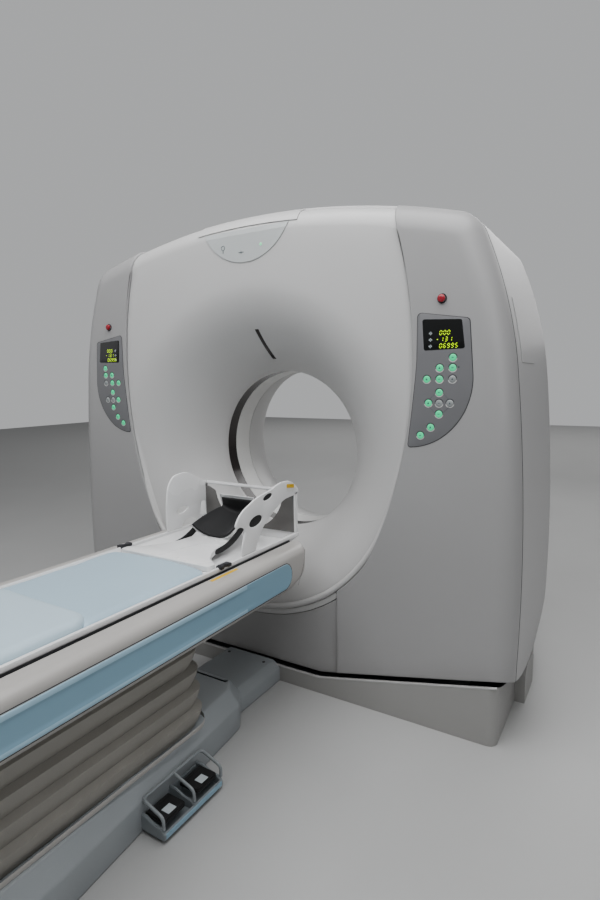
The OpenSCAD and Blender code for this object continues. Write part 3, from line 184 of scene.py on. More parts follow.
# A procedural material: base colour, roughness, and how grainy, cloudy, scuffed and dirty it is
def finish(name, color, rough=0.4, kind="grain", floor=0.35, dirt=0.35, dirtColor=(0.20, 0.19, 0.17), scuff=0.25,
           cloud=0.05, bump=0.06, spread=0.04, metal=0.0, coat=0.0, sheen=0.0, glow=None, glowPower=0.0, **own):
    values = dict(dict(scale=900.0, wave=6.0, depth=0.5, along=8.0, across=700.0), **own)
    material = bpy.data.materials.new(name)
    material.use_nodes = True
    t = material.node_tree
    surface = t.nodes["Principled BSDF"].inputs
    fixed = {"Metallic": metal, "IOR": 1.5, "Coat Weight": coat, "Coat Roughness": 0.12, "Sheen Weight": sheen}
    if glow:
        fixed.update({"Emission Color": (*glow, 1), "Emission Strength": glowPower})
    for k, v in fixed.items():
        surface[k].default_value = v
    hand = addNode(t, "Group", dict(Floor=floor, Spread=0.32, Scuff=scuff), node_tree=handling)
    group, tint, inputs = kinds[kind]
    skin = addNode(t, "Group", {k: values[v] for k, v in inputs.items()}, node_tree=group)
    scuffs, clouds = hand.outputs["Scuffs"], hand.outputs["Cloud"]
    tone = mixColor(t, clouds, tuple(c * (1 - 2.2 * cloud) for c in color),
                    tuple(min(1, c * (1 + 1.2 * cloud)) for c in color))
    tone = mixColor(t, mathNode(t, "MULTIPLY", skin.outputs[tint], spread), tone, tuple(c * 0.55 for c in color))
    tone = mixColor(t, mathNode(t, "MULTIPLY", scuffs, 0.35), tone, tuple(min(1, c * 0.6 + 0.25) for c in color))
    tone = mixColor(t, mathNode(t, "MULTIPLY", hand.outputs["Dirt"], dirt), tone, dirtColor)
    t.links.new(tone, surface["Base Color"])
    wear = mathNode(t, "ADD", mathNode(t, "MULTIPLY", clouds, 0.6), mathNode(t, "MULTIPLY", scuffs, 0.4))
    t.links.new(rangeNode(t, wear, max(0.03, rough - 0.07), min(1.0, rough + 0.10)), surface["Roughness"])
    relief = addNode(t, "Bump", {"Strength": bump, "Distance": 0.002, "Height": skin.outputs["Height"]})
    t.links.new(relief.outputs[0], surface["Normal"])
    return material

paint = dict(
    cover=finish("cover paint", (0.60, 0.595, 0.59), 0.36, scale=700, bump=0.05, coat=0.10, cloud=0.02, scuff=0.12),
    wing=finish("wing paint", (0.405, 0.401, 0.401), 0.40, scale=760, bump=0.07, coat=0.06, cloud=0.02, scuff=0.14),
    side=finish("side paint", (0.50, 0.495, 0.495), 0.40, scale=760, bump=0.07, coat=0.06, cloud=0.02, scuff=0.14),
    liner=finish("liner plastic", (0.74, 0.735, 0.72), 0.33, scale=500, bump=0.04, scuff=0.10, cloud=0.02),
    seam=finish("seam shadow", (0.045, 0.045, 0.047), 0.7, scale=300, bump=0.1, scuff=0.0, dirt=0.0),
    scanGlass=finish("scan window film", (0.022, 0.015, 0.013), 0.16, scale=220, bump=0.05, coat=0.5, scuff=0.25,
                     dirt=0.0),
    panel=finish("panel foil", (0.215, 0.215, 0.223), 0.46, scale=1500, bump=0.05, cloud=0.02, scuff=0.08),
    # Dark rims, also the painted shade of the key shadows and of the slot strips
    rim=finish("dark rim", (0.05, 0.05, 0.055), 0.45, scale=600, bump=0.06),
    glass=finish("display glass", (0.012, 0.013, 0.013), 0.10, scale=160, bump=0.01, coat=0.8, scuff=0.05, dirt=0.0),
    digit=finish("lit digits", (0.30, 0.42, 0.02), 0.4, scale=900, bump=0.0, dirt=0.0, scuff=0.0,
                 glow=(0.55, 0.85, 0.03), glowPower=1.6),
    mint=finish("lit button", (0.05, 0.45, 0.22), 0.30, scale=500, bump=0.03, coat=0.4, dirt=0.0, scuff=0.1,
                glow=(0.06, 0.80, 0.36), glowPower=0.6),
    grey=finish("grey button", (0.36, 0.38, 0.38), 0.34, scale=500, bump=0.03, coat=0.4, dirt=0.0, scuff=0.1),
    ink=finish("printed mark", (0.10, 0.13, 0.14), 0.5, scale=900, bump=0.0, dirt=0.0, scuff=0.0),
    red=finish("stop red", (0.42, 0.03, 0.045), 0.28, scale=500, bump=0.04, coat=0.4, dirt=0.0, scuff=0.3),
    status=finish("status plate", (0.56, 0.58, 0.58), 0.42, scale=1200, bump=0.04, dirt=0.0, scuff=0.1),
    green=finish("green lamp", (0.25, 0.60, 0.38), 0.3, bump=0.0, dirt=0.0, glow=(0.3, 0.9, 0.5), glowPower=0.6),
    frame=finish("couch paint", (0.46, 0.444, 0.425), 0.36, scale=650, bump=0.06, coat=0.10, cloud=0.03, scuff=0.35),
    strip=finish("blue strip", (0.27, 0.42, 0.52), 0.42, scale=900, bump=0.08, cloud=0.04, scuff=0.55),
    table=finish("table shell", (0.80, 0.80, 0.80), 0.24, scale=260, bump=0.03, coat=0.35, cloud=0.03, scuff=0.4),
    pad=finish("mattress vinyl", (0.44, 0.57, 0.66), 0.40, "vinyl", scale=380, depth=0.5, bump=0.16,
               spread=0.10, cloud=0.05, scuff=0.2, dirt=0.0, sheen=0.15),
    bead=finish("strip bead", (0.40, 0.57, 0.68), 0.38, scale=900, bump=0.06, cloud=0.04, scuff=0.5),
    padLight=finish("main pad vinyl", (0.52, 0.64, 0.71), 0.42, "vinyl", scale=380, depth=0.5, bump=0.14,
                    spread=0.08, cloud=0.04, scuff=0.15, dirt=0.0, sheen=0.15),
    smoke=finish("smoked plastic", (0.15, 0.145, 0.14), 0.22, scale=300, bump=0.03, coat=0.4, dirt=0.0, scuff=0.2),
    plinth=finish("plinth paint", (0.37, 0.365, 0.355), 0.45, scale=500, depth=0.8, bump=0.10, cloud=0.04, floor=0.10,
                  dirt=0.45, scuff=0.4),
    holder=finish("holder plastic", (0.82, 0.82, 0.82), 0.28, scale=420, bump=0.04, coat=0.2, scuff=0.3),
    # Black foam, also the painted shade in the arms' holes
    black=finish("black foam", (0.013, 0.013, 0.014), 0.62, "vinyl", scale=700, depth=0.2, bump=0.2, dirt=0.0,
                 sheen=0.1, scuff=0.1),
    bellows=finish("bellows cloth", (0.39, 0.375, 0.345), 0.66, "vinyl", scale=900, depth=0.6, bump=0.22,
                   spread=0.2, cloud=0.06, floor=0.5, dirt=0.5, scuff=0.2),
    base=finish("base paint", (0.36, 0.385, 0.40), 0.45, scale=420, depth=0.9, bump=0.16, cloud=0.06,
                floor=0.20, dirt=0.45, dirtColor=(0.18, 0.17, 0.16), scuff=0.6),
    tray=finish("tray plastic", (0.26, 0.285, 0.30), 0.45, scale=500, bump=0.1, floor=0.12, dirt=0.4, scuff=0.6),
    blueEdge=finish("pale blue edge", (0.30, 0.44, 0.53), 0.45, scale=600, bump=0.06, floor=0.1, scuff=0.5),
    rubber=finish("pedal rubber", (0.014, 0.014, 0.015), 0.6, scale=900, depth=0.8, bump=0.25, floor=0.12,
                  dirt=0.3, scuff=0.3),
    label=finish("plain label", (0.55, 0.60, 0.62), 0.5, scale=700, bump=0.02, dirt=0.2, floor=0.1),
    yellow=finish("plain yellow sticker", (0.72, 0.46, 0.03), 0.45, scale=700, bump=0.02, dirt=0.0, scuff=0.3),
    # White stickers, also the painted highlight under each key
    white=finish("white sticker and painted highlight", (0.70, 0.70, 0.68), 0.45, scale=700, bump=0.02, dirt=0.0, scuff=0.3),
    wire=finish("guard paint", (0.27, 0.29, 0.30), 0.38, scale=600, bump=0.08, floor=0.1, scuff=0.6),
    steel=finish("bare steel", (0.42, 0.43, 0.44), 0.34, "brushed", metal=1.0, bump=0.05, floor=0.12, scuff=0.4),
    framePaint=finish("inner frame paint", (0.20, 0.215, 0.23), 0.5, scale=300, depth=0.8, bump=0.12, floor=0.3,
                      dirt=0.5, scuff=0.4),
    rotor=finish("cast alloy", (0.50, 0.51, 0.52), 0.42, "brushed", metal=0.9, across=300, bump=0.08, scuff=0.3),
    dark=finish("dark casing", (0.05, 0.055, 0.06), 0.48, scale=500, depth=0.8, bump=0.12, scuff=0.4),
    belt=finish("ribbed rubber", (0.012, 0.012, 0.012), 0.7, "brushed", along=700, across=8, bump=0.3, dirt=0.0),
    bearing=finish("bearing steel", (0.62, 0.62, 0.63), 0.22, "brushed", metal=1.0, bump=0.03, scuff=0.1),
    hvCase=finish("unit casing", (0.13, 0.15, 0.13), 0.45, scale=500, bump=0.1, scuff=0.3))
print("finishes:", len(paint))

floor = bpy.data.meshes.new("floor")
floor.from_pydata([(-14, -14, 0), (14, -14, 0), (14, 14, 0), (-14, 14, 0)], [], [(0, 1, 2, 3)])
floorTop = bpy.data.objects.new("floor", floor)
floor.materials.append(finish("studio floor", (0.46, 0.46, 0.455), 0.42, scale=60, wave=1.2, depth=0.2, bump=0.03,
                              cloud=0.03, scuff=0.05, floor=-1.0, dirt=0.0))
floorTop.location.z = -0.0005
scene.collection.objects.link(floorTop)

# Makes a piece from a part: its finishes, its soft edges, and what it rides on and stands for
def place(name, part, finishes, body, sharp=32, faceFinish=None, replaced=(), weld=0.02, slot=None, closed=False):
    mesh = bpy.data.meshes.new(name)
    mesh.from_pydata([(x * mm, y * mm, z * mm) for x, y, z in part[0]], [], part[1])
    for f in finishes if isinstance(finishes, list) else [finishes]:
        mesh.materials.append(paint[f])
    if faceFinish is not None:
        mesh.polygons.foreach_set("material_index", faceFinish)
    bm = bmesh.new()
    bm.from_mesh(mesh)
    if weld:
        bmesh.ops.remove_doubles(bm, verts=bm.verts, dist=weld * mm)
    if closed:
        bmesh.ops.recalc_face_normals(bm, faces=bm.faces)
    bm.to_mesh(mesh)
    bm.free()
    mesh.shade_smooth()
    mesh.set_sharp_from_angle(angle=radians(sharp))
    piece = bpy.data.objects.new(name, mesh)
    scene.collection.objects.link(piece)
    if replaced:
        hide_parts(*replaced)
    if body:
        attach(piece, body)
    return piece

def gather(*parts):
    verts, faces = [], []
    for v, f in parts:
        k = len(verts)
        verts += [tuple(p) for p in v]
        faces += [tuple(i + k for i in q) for q in f]
    return verts, faces

def mirrorPart(part):
    return [(-v[0], v[1], v[2]) for v in part[0]], [tuple(reversed(f)) for f in part[1]]

# A part is drawn for the right side, and mirrored for the left
sides = ("right", "left")

def sided(part, side):
    return part if side == "right" else mirrorPart(part)

def placePair(name, part, finishes, body, replaced=None, order=sides, **more):
    for side in order:
        place(f"{name}_{side}", sided(part, side), finishes, body.format(side),
              replaced=[replaced.format(side)] if replaced else (), **more)

def bothSides(part):
    return gather(part, mirrorPart(part))

def unit(a):
    return a / np.maximum(np.linalg.norm(a, axis=-1, keepdims=True), 1e-9)

# A curved sheet through a grid of points, with rounded edges that turn in at the sides named: s n for the first
# and last row, w e for the first and last column
def patch(points, edges="", wrap=False, r=2.5, depth=14, flip=False):
    p = np.array(points, float)
    m, n = p.shape[:2]
    dr = np.gradient(p, axis=0)
    dc = (np.roll(p, -1, 1) - np.roll(p, 1, 1)) if wrap else np.gradient(p, axis=1)
    normal = unit(np.cross(dc, dr)) * (-1 if flip else 1)
    rows, cols = [(i, 0, 0) for i in range(m)], [(j, 0, 0) for j in range(n)]
    turns = (pi / 8, pi / 4, 3 * pi / 8, pi / 2)
    steps = [(-r, 0)] + [(r * (sin(a) - 1), r * (1 - cos(a))) for a in turns] + [(0, depth)]
    def grown(index, first, last, lowSide, highSide):
        out = list(index)
        if lowSide:
            out = [(first, -t, d) for t, d in reversed(steps)] + out[1:]
        if highSide:
            out = out[:-1] + [(last, t, d) for t, d in steps]
        return out
    rows = grown(rows, 0, m - 1, "s" in edges, "n" in edges)
    cols = grown(cols, 0, n - 1, "w" in edges, "e" in edges)
    tr, tc = unit(dr), unit(dc)
    verts = [p[i, j] + tr[i, j] * ti + tc[i, j] * tj - normal[i, j] * max(di, dj)
             for i, ti, di in rows for j, tj, dj in cols]
    return verts, gridFaces(len(rows), len(cols), wrap, flip)

def gridFaces(m, n, wrap=False, flip=False):
    faces = []
    for i in range(m - 1):
        for j in range(n if wrap else n - 1):
            a, b, c, d = i * n + j, i * n + (j + 1) % n, (i + 1) * n + (j + 1) % n, (i + 1) * n + j
            faces.append((a, d, c, b) if flip else (a, b, c, d))
    return faces

def onAxis(p, h, axis):
    return {"z": (p[0], p[1], h), "y": (p[0], h, p[1]), "x": (h, p[0], p[1])}[axis]

def meshPart(bm):
    bm.verts.index_update()
    part = [tuple(v.co) for v in bm.verts], [tuple(v.index for v in f.verts) for f in bm.faces]
    bm.free()
    return part

# A solid from an outline and a thickness, its edges rounded; axis says which way it is pushed
def prism(outline, low, high, axis="z", bevel=2.0, segments=3):
    bm = bmesh.new()
    lowRing, highRing = ([bm.verts.new(onAxis(p, h, axis)) for p in outline] for h in (low, high))
    n = len(outline)
    bm.faces.new(lowRing)
    bm.faces.new(highRing)
    for i in range(n):
        bm.faces.new((lowRing[i], lowRing[(i + 1) % n], highRing[(i + 1) % n], highRing[i]))
    bmesh.ops.recalc_face_normals(bm, faces=bm.faces)
    if bevel:
        sharp = [e for e in bm.edges if e.calc_face_angle(0) > radians(30)]
        bmesh.ops.bevel(bm, geom=sharp, offset=bevel, segments=segments, affect="EDGES", clamp_overlap=True)
    bmesh.ops.triangulate(bm, faces=[f for f in bm.faces if len(f.verts) > 4])
    return meshPart(bm)

def boxPart(low, high, bevel=2.0, segments=3):
    (x0, y0, z0), (x1, y1, z1) = low, high
    return prism([(x0, y0), (x1, y0), (x1, y1), (x0, y1)], z0, z1, "z", bevel, segments)

# A turned form: profile points (radius, height along the axis) about an axis through a point
def turned(profile, at, axis="y", count=48):
    ring = []
    for r, h in profile:
        for k in range(count):
            a = 2 * pi * k / count
            u, v = r * cos(a), r * sin(a)
            ring.append({"y": (at[0] + u, at[1] + h, at[2] + v), "z": (at[0] + u, at[1] + v, at[2] + h),
                         "x": (at[0] + h, at[1] + u, at[2] + v)}[axis])
    return ring, gridFaces(len(profile), count, True, axis != "y")

# A round bar along a path, closed at both ends
def bar(path, r, count=14):
    pts = [Vector(q) for q in path]
    verts, up = [], Vector((0.13, 0.21, 0.97))
    for i, q in enumerate(pts):
        t = (pts[min(i + 1, len(pts) - 1)] - pts[max(i - 1, 0)]).normalized()
        u = (up - t * up.dot(t)).normalized()
        w = t.cross(u)
        up = u
        verts += [tuple(q + r * (cos(2 * pi * k / count) * u + sin(2 * pi * k / count) * w)) for k in range(count)]
    faces = gridFaces(len(pts), count, True)
    faces += [tuple(range(count)), tuple(reversed(range((len(pts) - 1) * count, len(pts) * count)))]
    return verts, faces

# A smooth line through the points
def smoothPath(points, steps):
    out, q = [], [np.array(p, float) for p in points]
    for a, b, c, d in zip(q[:1] + q, q, q[1:], q[2:] + q[-1:]):
        for t in (k / steps for k in range(steps)):
            out.append(0.5 * (2 * b + (c - a) * t + (2 * a - 5 * b + 4 * c - d) * t * t
                              + (3 * b - a - 3 * c + d) * t ** 3))
    return out + [q[-1]]

gantry = dict(isoZ=950, boreR=360, rimY=47, flareA0=24.2, flareR=643, kneeA=50, windowHalf=32.4, linerY=143,
              halfW=1082, top=1940, frontY=354, rearY=492, rollR=90, step=10, topR=3100, sideR=7500, sideMidZ=560,
              sideBreakZ=1290, upperR=1600, shoulderR=130, keelFloor=13, keelHalf=338, keelFall=0.2, seamR=1686,
              seamHalfW=712, seamMidZ=1321, seamLowR=656, lowerHalfW=413, seamJoinZ=581, topHalf=630, topSeam=650,
              sideLowZ=245, rearMouthR=640, gap=1.6, edgeR=3.0)
(isoZ, frontY, rearY, rollR, topHalf, topSeam, rearMouthR, seamJoinZ, boreR, windowHalf, linerY, gap, edgeR,
 lowerHalfW, seamLowR, topR, flareR, step, sideR, upperR, shoulderR, seamR, sideMidZ, seamMidZ, keelHalf) = (
    gantry[k] for k in (
        "isoZ", "frontY", "rearY", "rollR", "topHalf", "topSeam", "rearMouthR", "seamJoinZ", "boreR", "windowHalf",
        "linerY", "gap", "edgeR", "lowerHalfW", "seamLowR", "topR", "flareR", "step", "sideR", "upperR",
        "shoulderR", "seamR", "sideMidZ", "seamMidZ", "keelHalf"))
keelR = isoZ - gantry["keelFloor"]

def onArc(c, r, a):
    return np.array([c[0] + r * cos(a), c[1] + r * sin(a)])

def layOutGantry():
    sideC = np.array([gantry["halfW"] - sideR, sideMidZ])
    a0 = asin((gantry["sideLowZ"] - sideMidZ) / sideR)
    a1 = asin((gantry["sideBreakZ"] - sideMidZ) / sideR)
    upperC = sideC + (sideR - upperR) * np.array([cos(a1), sin(a1)])
    topC = np.array([0, gantry["top"] - topR])
    gapA, gapB = upperR - shoulderR, topR - shoulderR
    between = np.linalg.norm(upperC - topC)
    along = (gapB ** 2 - gapA ** 2 + between ** 2) / (2 * between)
    across = sqrt(gapB ** 2 - along ** 2)
    to = (upperC - topC) / between
    shoulderC = topC + along * to + across * np.array([to[1], -to[0]])
    a2 = atan2(shoulderC[1] - upperC[1], shoulderC[0] - upperC[0])
    a3 = atan2(shoulderC[1] - topC[1], shoulderC[0] - topC[0])
    return dict(sideC=sideC, a0=a0, a1=a1, upperC=upperC, topC=topC, shoulderC=shoulderC, a2=a2, a3=a3,
                outA=acos(topHalf / topR), inA=acos(topSeam / (topR - rollR)))

arcs = layOutGantry()

# Points round the gantry's outline: a centre, a radius, an angle and how far the angle turns over the roll
def along(centre, radius, first, last, count):
    return [(*arcs[centre], gantry[radius], a, 0.0) for a in np.linspace(first, last, count)]

def arcStations(n1, n2, n3, n4):
    a0, a1, a2, a3, outA = (arcs[k] for k in ("a0", "a1", "a2", "a3", "outA"))
    s = along("sideC", "sideR", a0, a1, n1) + along("upperC", "upperR", a1, a2, n2 + 1)[1:]
    s += along("shoulderC", "shoulderR", a2, a3, n3 + 1)[1:]
    turn = arcs["inA"] - outA
    overTop = zip(along("topC", "topR", a3, outA, n4 + 1), np.linspace(0, 1, n4 + 1))
    return s + [(*p[:4], turn * t) for p, t in overTop][1:]

def station(s, d):
    return onArc(s, s[2] - d, s[3] + s[4] * d / rollR)

# The gantry's underside turns about the ring's centre, at a radius that falls towards the sides
def keelAt(x):
    return keelR - gantry["keelFall"] * max(0, abs(x) - keelHalf)

def keelZ(x, y):
    return isoZ - sqrt(keelAt(x) ** 2 - y * y)

seamC = np.array([gantry["seamHalfW"] - seamR, seamMidZ])
lowSeamZ = isoZ - sqrt(seamLowR ** 2 - lowerHalfW ** 2)
seamTopZ = arcs["topC"][1] + sqrt((topR - rollR) ** 2 - topSeam ** 2) - 2

def seamX(z):
    if z < lowSeamZ:
        return lowerHalfW
    if z < seamJoinZ:
        return sqrt(seamLowR ** 2 - (isoZ - z) ** 2)
    return seamC[0] + sqrt(seamR ** 2 - (z - seamMidZ) ** 2)

# The lowest column of a cover follows the keel, and the next two stay even above it
def onKeel(grid, ease=True):
    for row in grid:
        row[0] = (row[0][0], row[0][1], keelZ(row[0][0], row[0][1]))
    g = np.array(grid)
    for k in (1, 2) if ease else ():
        g[:, k, 2] = np.maximum(g[:, k, 2], g[:, 0, 2] + 6 * k)
    return g

def topZ(x, d):
    return arcs["topC"][1] + sqrt((topR - d) ** 2 - x * x)

rollAngles = [pi / 2 * k / 10 for k in range(11)]
sideFrom, sideTo = -frontY + rollR + gap, rearY - rollR - gap

def wingPart():
    st = arcStations(26, 12, 14, 8)
    n = len(st)
    z0 = keelZ(lowerHalfW, frontY) + 1
    zs = np.concatenate([np.linspace(z0, lowSeamZ, 7), np.linspace(lowSeamZ, seamJoinZ, 9)[1:],
                         np.linspace(seamJoinZ, seamTopZ, n - 14)[1:]])
    seam = [np.array([seamX(z) + gap / 2, z]) for z in zs]
    grid = []
    for t in (0, 0.03, 0.15, 0.35, 0.6, 0.85):
        row = [p + (station(s, rollR) - p) * t for p, s in zip(seam, st)]
        grid.append([(q[0], -frontY, q[1]) for q in row])
    for a in rollAngles:
        row = [station(s, rollR * (1 - sin(a))) for s in st]
        grid.append([(q[0], -frontY + rollR * (1 - cos(a)), q[1]) for q in row])
    return patch(onKeel(grid), "snwe", r=5.0, depth=22, flip=True)

def rayOut(th, c, r):
    u = np.array([sin(th), cos(th)])
    k = u @ c
    return k + sqrt(k * k + r * r - c @ c)

cornerA = atan2(topSeam - gap / 2, seamTopZ - isoZ)
isoPoint = np.array([0, isoZ])
centreY = frontY - step

def centreEdge(th):
    a = abs(th)
    r = rayOut(a, seamC - isoPoint, seamR - gap / 2)
    return min(seamLowR - gap / 2, r) if a > radians(99) else r

fa, ka = radians(gantry["flareA0"]), radians(gantry["kneeA"])
flareC = np.array([boreR + flareR * cos(fa), gantry["rimY"] - flareR * sin(fa)])
kneePoint = flareC + flareR * np.array([-cos(ka), sin(ka)])
mouthR = (centreY - kneePoint[1]) / (1 - sin(ka))
mouthC = kneePoint + mouthR * np.array([cos(ka), -sin(ka)])

# The centre cover's section, from the bore's rim over two arcs to its edge
def profile(edge):
    pts = [(boreR, windowHalf + 0.5), (boreR, 40), (boreR, 45)]
    pts += [tuple(flareC + flareR * np.array([-cos(a), sin(a)])) for a in np.linspace(fa, ka, 15)]
    end = max(acos(max(0.0, min(1.0, (mouthC[0] - edge + 14) / mouthR))), ka + 0.01)
    pts += [tuple(mouthC + mouthR * np.array([-cos(a), sin(a)])) for a in np.linspace(ka, end, 13)[1:]]
    last = pts[-1]
    return pts + [(last[0] + (edge - last[0]) * t, last[1] + (centreY - last[1]) * min(1, t * 1.4))
                  for t in (0.25, 0.5, 0.75, 1.0)]

def polar(th, r, y):
    return (r * sin(th), -y, isoZ + r * cos(th))

def centrePart():
    topTh, sideTh = np.linspace(-cornerA, cornerA, 49), np.linspace(cornerA, 2 * pi - cornerA, 151)
    def column(th, top):
        w = th if th <= pi else th - 2 * pi
        edge = rayOut(abs(w), arcs["topC"] - isoPoint, topR - rollR) if top else centreEdge(w)
        return [polar(th, r, y) for r, y in profile(edge)]
    topGrid = np.array([column(t, True) for t in topTh]).transpose(1, 0, 2)
    sideGrid = np.array([column(t, False) for t in sideTh]).transpose(1, 0, 2)
    # both end columns of the side part are those of the top part, so that they weld
    sideGrid[:, 0], sideGrid[:, -1] = topGrid[:, -1], topGrid[:, 0]
    top, side = patch(topGrid), patch(sideGrid, "n", r=edgeR, depth=16)
    roll, r = [], rollR - step
    for a in rollAngles:
        xs = [p[0] * (1 - (topSeam - topHalf) / topSeam * sin(a)) for p in topGrid[-1]]
        roll.append([(x, -frontY + rollR - r * cos(a), topZ(x, rollR - r * sin(a))) for x in xs])
    roll[0] = [tuple(p) for p in topGrid[-1]]
    over = patch(roll, "nwe", r=edgeR, depth=14)
    return gather(top, side, over)

def sidePart():
    st = [station(s, 0) for s in arcStations(30, 14, 14, 8)]
    grid = [[(q[0], y, q[1]) for q in st] for y in np.linspace(sideFrom, sideTo, 13)]
    return patch(onKeel(grid), "snwe", r=edgeR, depth=16, flip=True)

# A dark line along the joint between wing and side cover
sideSeam = dict(lift=0.25, half=1.0, edgeR=0.2, depth=0.8)

def sideSeamPart():
    st, middle = [station(s, -sideSeam["lift"]) for s in arcStations(30, 14, 14, 8)], sideFrom - gap / 2
    grid = [[(q[0], middle + d, q[1]) for q in st] for d in (-sideSeam["half"], 0, sideSeam["half"])]
    return patch(onKeel(grid, False), "snwe", r=sideSeam["edgeR"], depth=sideSeam["depth"], flip=True)

def topPart():
    w = topHalf - gap / 2
    grid = [[(x, y, topZ(x, 0)) for x in np.linspace(-w, w, 41)] for y in np.linspace(sideFrom, sideTo, 9)]
    return patch(grid, "snwe", r=edgeR, depth=16)

def rearPart():
    a0, a1, a2, a3 = (arcs[k] for k in ("a0", "a1", "a2", "a3"))
    samples = along("topC", "topR", pi / 2, a3, 17) + along("shoulderC", "shoulderR", a3, a2, 13)[1:]
    samples += along("upperC", "upperR", a2, a1, 11)[1:] + along("sideC", "sideR", a1, a0, 21)[1:]
    def ring(a):
        y, out = rearY - rollR * (1 - cos(a)), []
        for s in samples:
            q = station(s, rollR * (1 - sin(a)))
            out.append([q[0], y, q[1]])
        out[-1][2] = keelZ(out[-1][0], y)
        x0 = station(samples[-1], rollR)[0]
        for t in np.linspace(0, 1, 19)[1:]:
            x = x0 * (1 - t)
            out.append([x, y, keelZ(x, y)])
        return out + [[-p[0], p[1], p[2]] for p in reversed(out[1:-1])]
    edge = ring(0)
    reach, deep = rearMouthR - boreR, rearY - linerY
    rows = []
    for t in np.linspace(0, pi / 2, 17):
        r, y = boreR + reach * (1 - cos(t)), linerY + 1 + (deep - 1) * sin(t)
        rows.append([polar(atan2(p[0], p[2] - isoZ), r, -y) for p in edge])
    for t in (0.2, 0.45, 0.7, 0.9):
        rows.append([tuple(np.array(a) + (np.array(b) - np.array(a)) * t) for a, b in zip(rows[16], edge)])
    rows += [ring(a) for a in rollAngles]
    return patch(rows, "sn", wrap=True, r=edgeR, depth=16, flip=True)

placePair("wing", wingPart(), "wing", "gantry", "front_{}_cover", slot="wing_cover")
place("centre_cover", centrePart(), "cover", "gantry", replaced=["front_center_cover"], slot="gantry_cover")
placePair("side", sidePart(), "side", "gantry", "side_cover_{}", slot="wing_cover")
placePair("side_seam", sideSeamPart(), "seam", "gantry", slot="wing_cover")
place("top_shell", topPart(), "cover", "gantry", replaced=["top_cover"], slot="gantry_cover")
place("rear_shell", rearPart(), "cover", "gantry", replaced=["rear_cover"], slot="gantry_cover")
print("covers done")

# The lower front: a flat panel under the funnel, a strip under the lip, and the rounded lip itself
lowerFront = dict(panelOver=26, back=2, stripEdges=((24.4, -1), (14, 0.5), (2, 1)), lipFrom=101, lipTo=259, lipFade=26,
                  lipIn=11, lipBack=4, lipSmall=3.5, lipGrow=9.5)

def lowerPart():
    w, y = lowerHalfW - gap / 2, centreY - lowerFront["back"]
    xs = np.linspace(-w, w, 41)
    top = [isoZ - sqrt((seamLowR + lowerFront["panelOver"]) ** 2 - x * x) for x in xs]
    low = [keelZ(x, y) + 0.5 for x in xs]
    grid = [[(x, -y, b + (a - b) * t) for x, a, b in zip(xs, top, low)] for t in np.linspace(0, 1, 9)]
    return patch(grid, "snwe", r=edgeR, depth=14)

def stripPart():
    th0 = asin(lowerHalfW / (seamLowR + 12)) - 0.004
    angles = np.linspace(pi - th0, pi + th0, 61)
    rows = [[polar(a, seamLowR + r, centreY + y) for a in angles] for r, y in lowerFront["stripEdges"]]
    return patch(rows, "snwe", r=2.5, depth=12, flip=True)

def lipPart():
    first, last, fade = (radians(lowerFront[k]) for k in ("lipFrom", "lipTo", "lipFade"))
    r, y = seamLowR - lowerFront["lipIn"], centreY - lowerFront["lipBack"]
    def size(a):
        return lowerFront["lipSmall"] + lowerFront["lipGrow"] * min(1, min(a - first, last - a) / fade) ** 0.6
    rows = [[polar(a, r + size(a) * 0.95 * cos(b), y + size(a) * 1.25 * sin(b)) for a in np.linspace(first, last, 121)]
            for b in np.linspace(-0.15 * pi, 0.95 * pi, 15)]
    return patch(rows, flip=True)

place("lower_panel", lowerPart(), "wing", "gantry", replaced=["lower_front_cover"], slot="wing_cover")
place("lip_strip", stripPart(), "cover", "gantry", slot="gantry_cover")
place("funnel_lip", lipPart(), "cover", "gantry", slot="gantry_cover")

# Bore: liner behind the scan window, the window film between two fine rims
liner = [(6, windowHalf + 1), (1.5, windowHalf + 1), (0, windowHalf + 2.5), (0, 90), (0, linerY - 3),
         (1.5, linerY - 0.6), (6, linerY - 0.6)]
film = [(3, -31.8), (1.2, -31.4), (1.0, -10), (1.0, 10), (1.2, 31.4), (3, 31.8)]
place("liner", turned([(boreR + d, h) for d, h in liner], (0, 0, isoZ), "y", 160), "liner", "gantry",
      replaced=["bore_liner"], slot="gantry_cover")
place("window_film", turned([(boreR + d, h) for d, h in film], (0, 0, isoZ), "y", 160), "scanGlass", "gantry",
      replaced=["scan_window"], slot="scan_window")

# Laser slit over the bore: a dark film in a fine rim, bent along the flare
slit = dict(rim=(9.5, 33.7, 49.8, -0.7), film=(7.2, 34.0, 49.5, -1.3))

def slitPart(halfW, first, last, lift):
    rows = []
    for a in np.linspace(radians(first), radians(last), 15):
        q = flareC + (flareR - lift) * np.array([-cos(a), sin(a)])
        rows.append([(x, -q[1], isoZ + q[0]) for x in np.linspace(-halfW, halfW, 5)])
    return patch(rows, "snwe", r=1.5, depth=2)

place("slit_rim", slitPart(*slit["rim"]), "rim", "gantry")
place("slit_film", slitPart(*slit["film"]), "scanGlass", "gantry", replaced=["laser_window"],
      slot="laser_window")

# Closed solids lofted through rings of equal length, with both ends closed
def loft(rings):
    verts = [tuple(p) for r in rings for p in r]
    n = len(rings[0])
    faces = gridFaces(len(rings), n, True)
    faces += [tuple(range(n)), tuple(range((len(rings) - 1) * n, len(rings) * n))]
    return verts, faces

def mirrorRing(half):
    return [tuple(p) for p in half] + [(-p[0], p[1], p[2]) for p in reversed(half)]

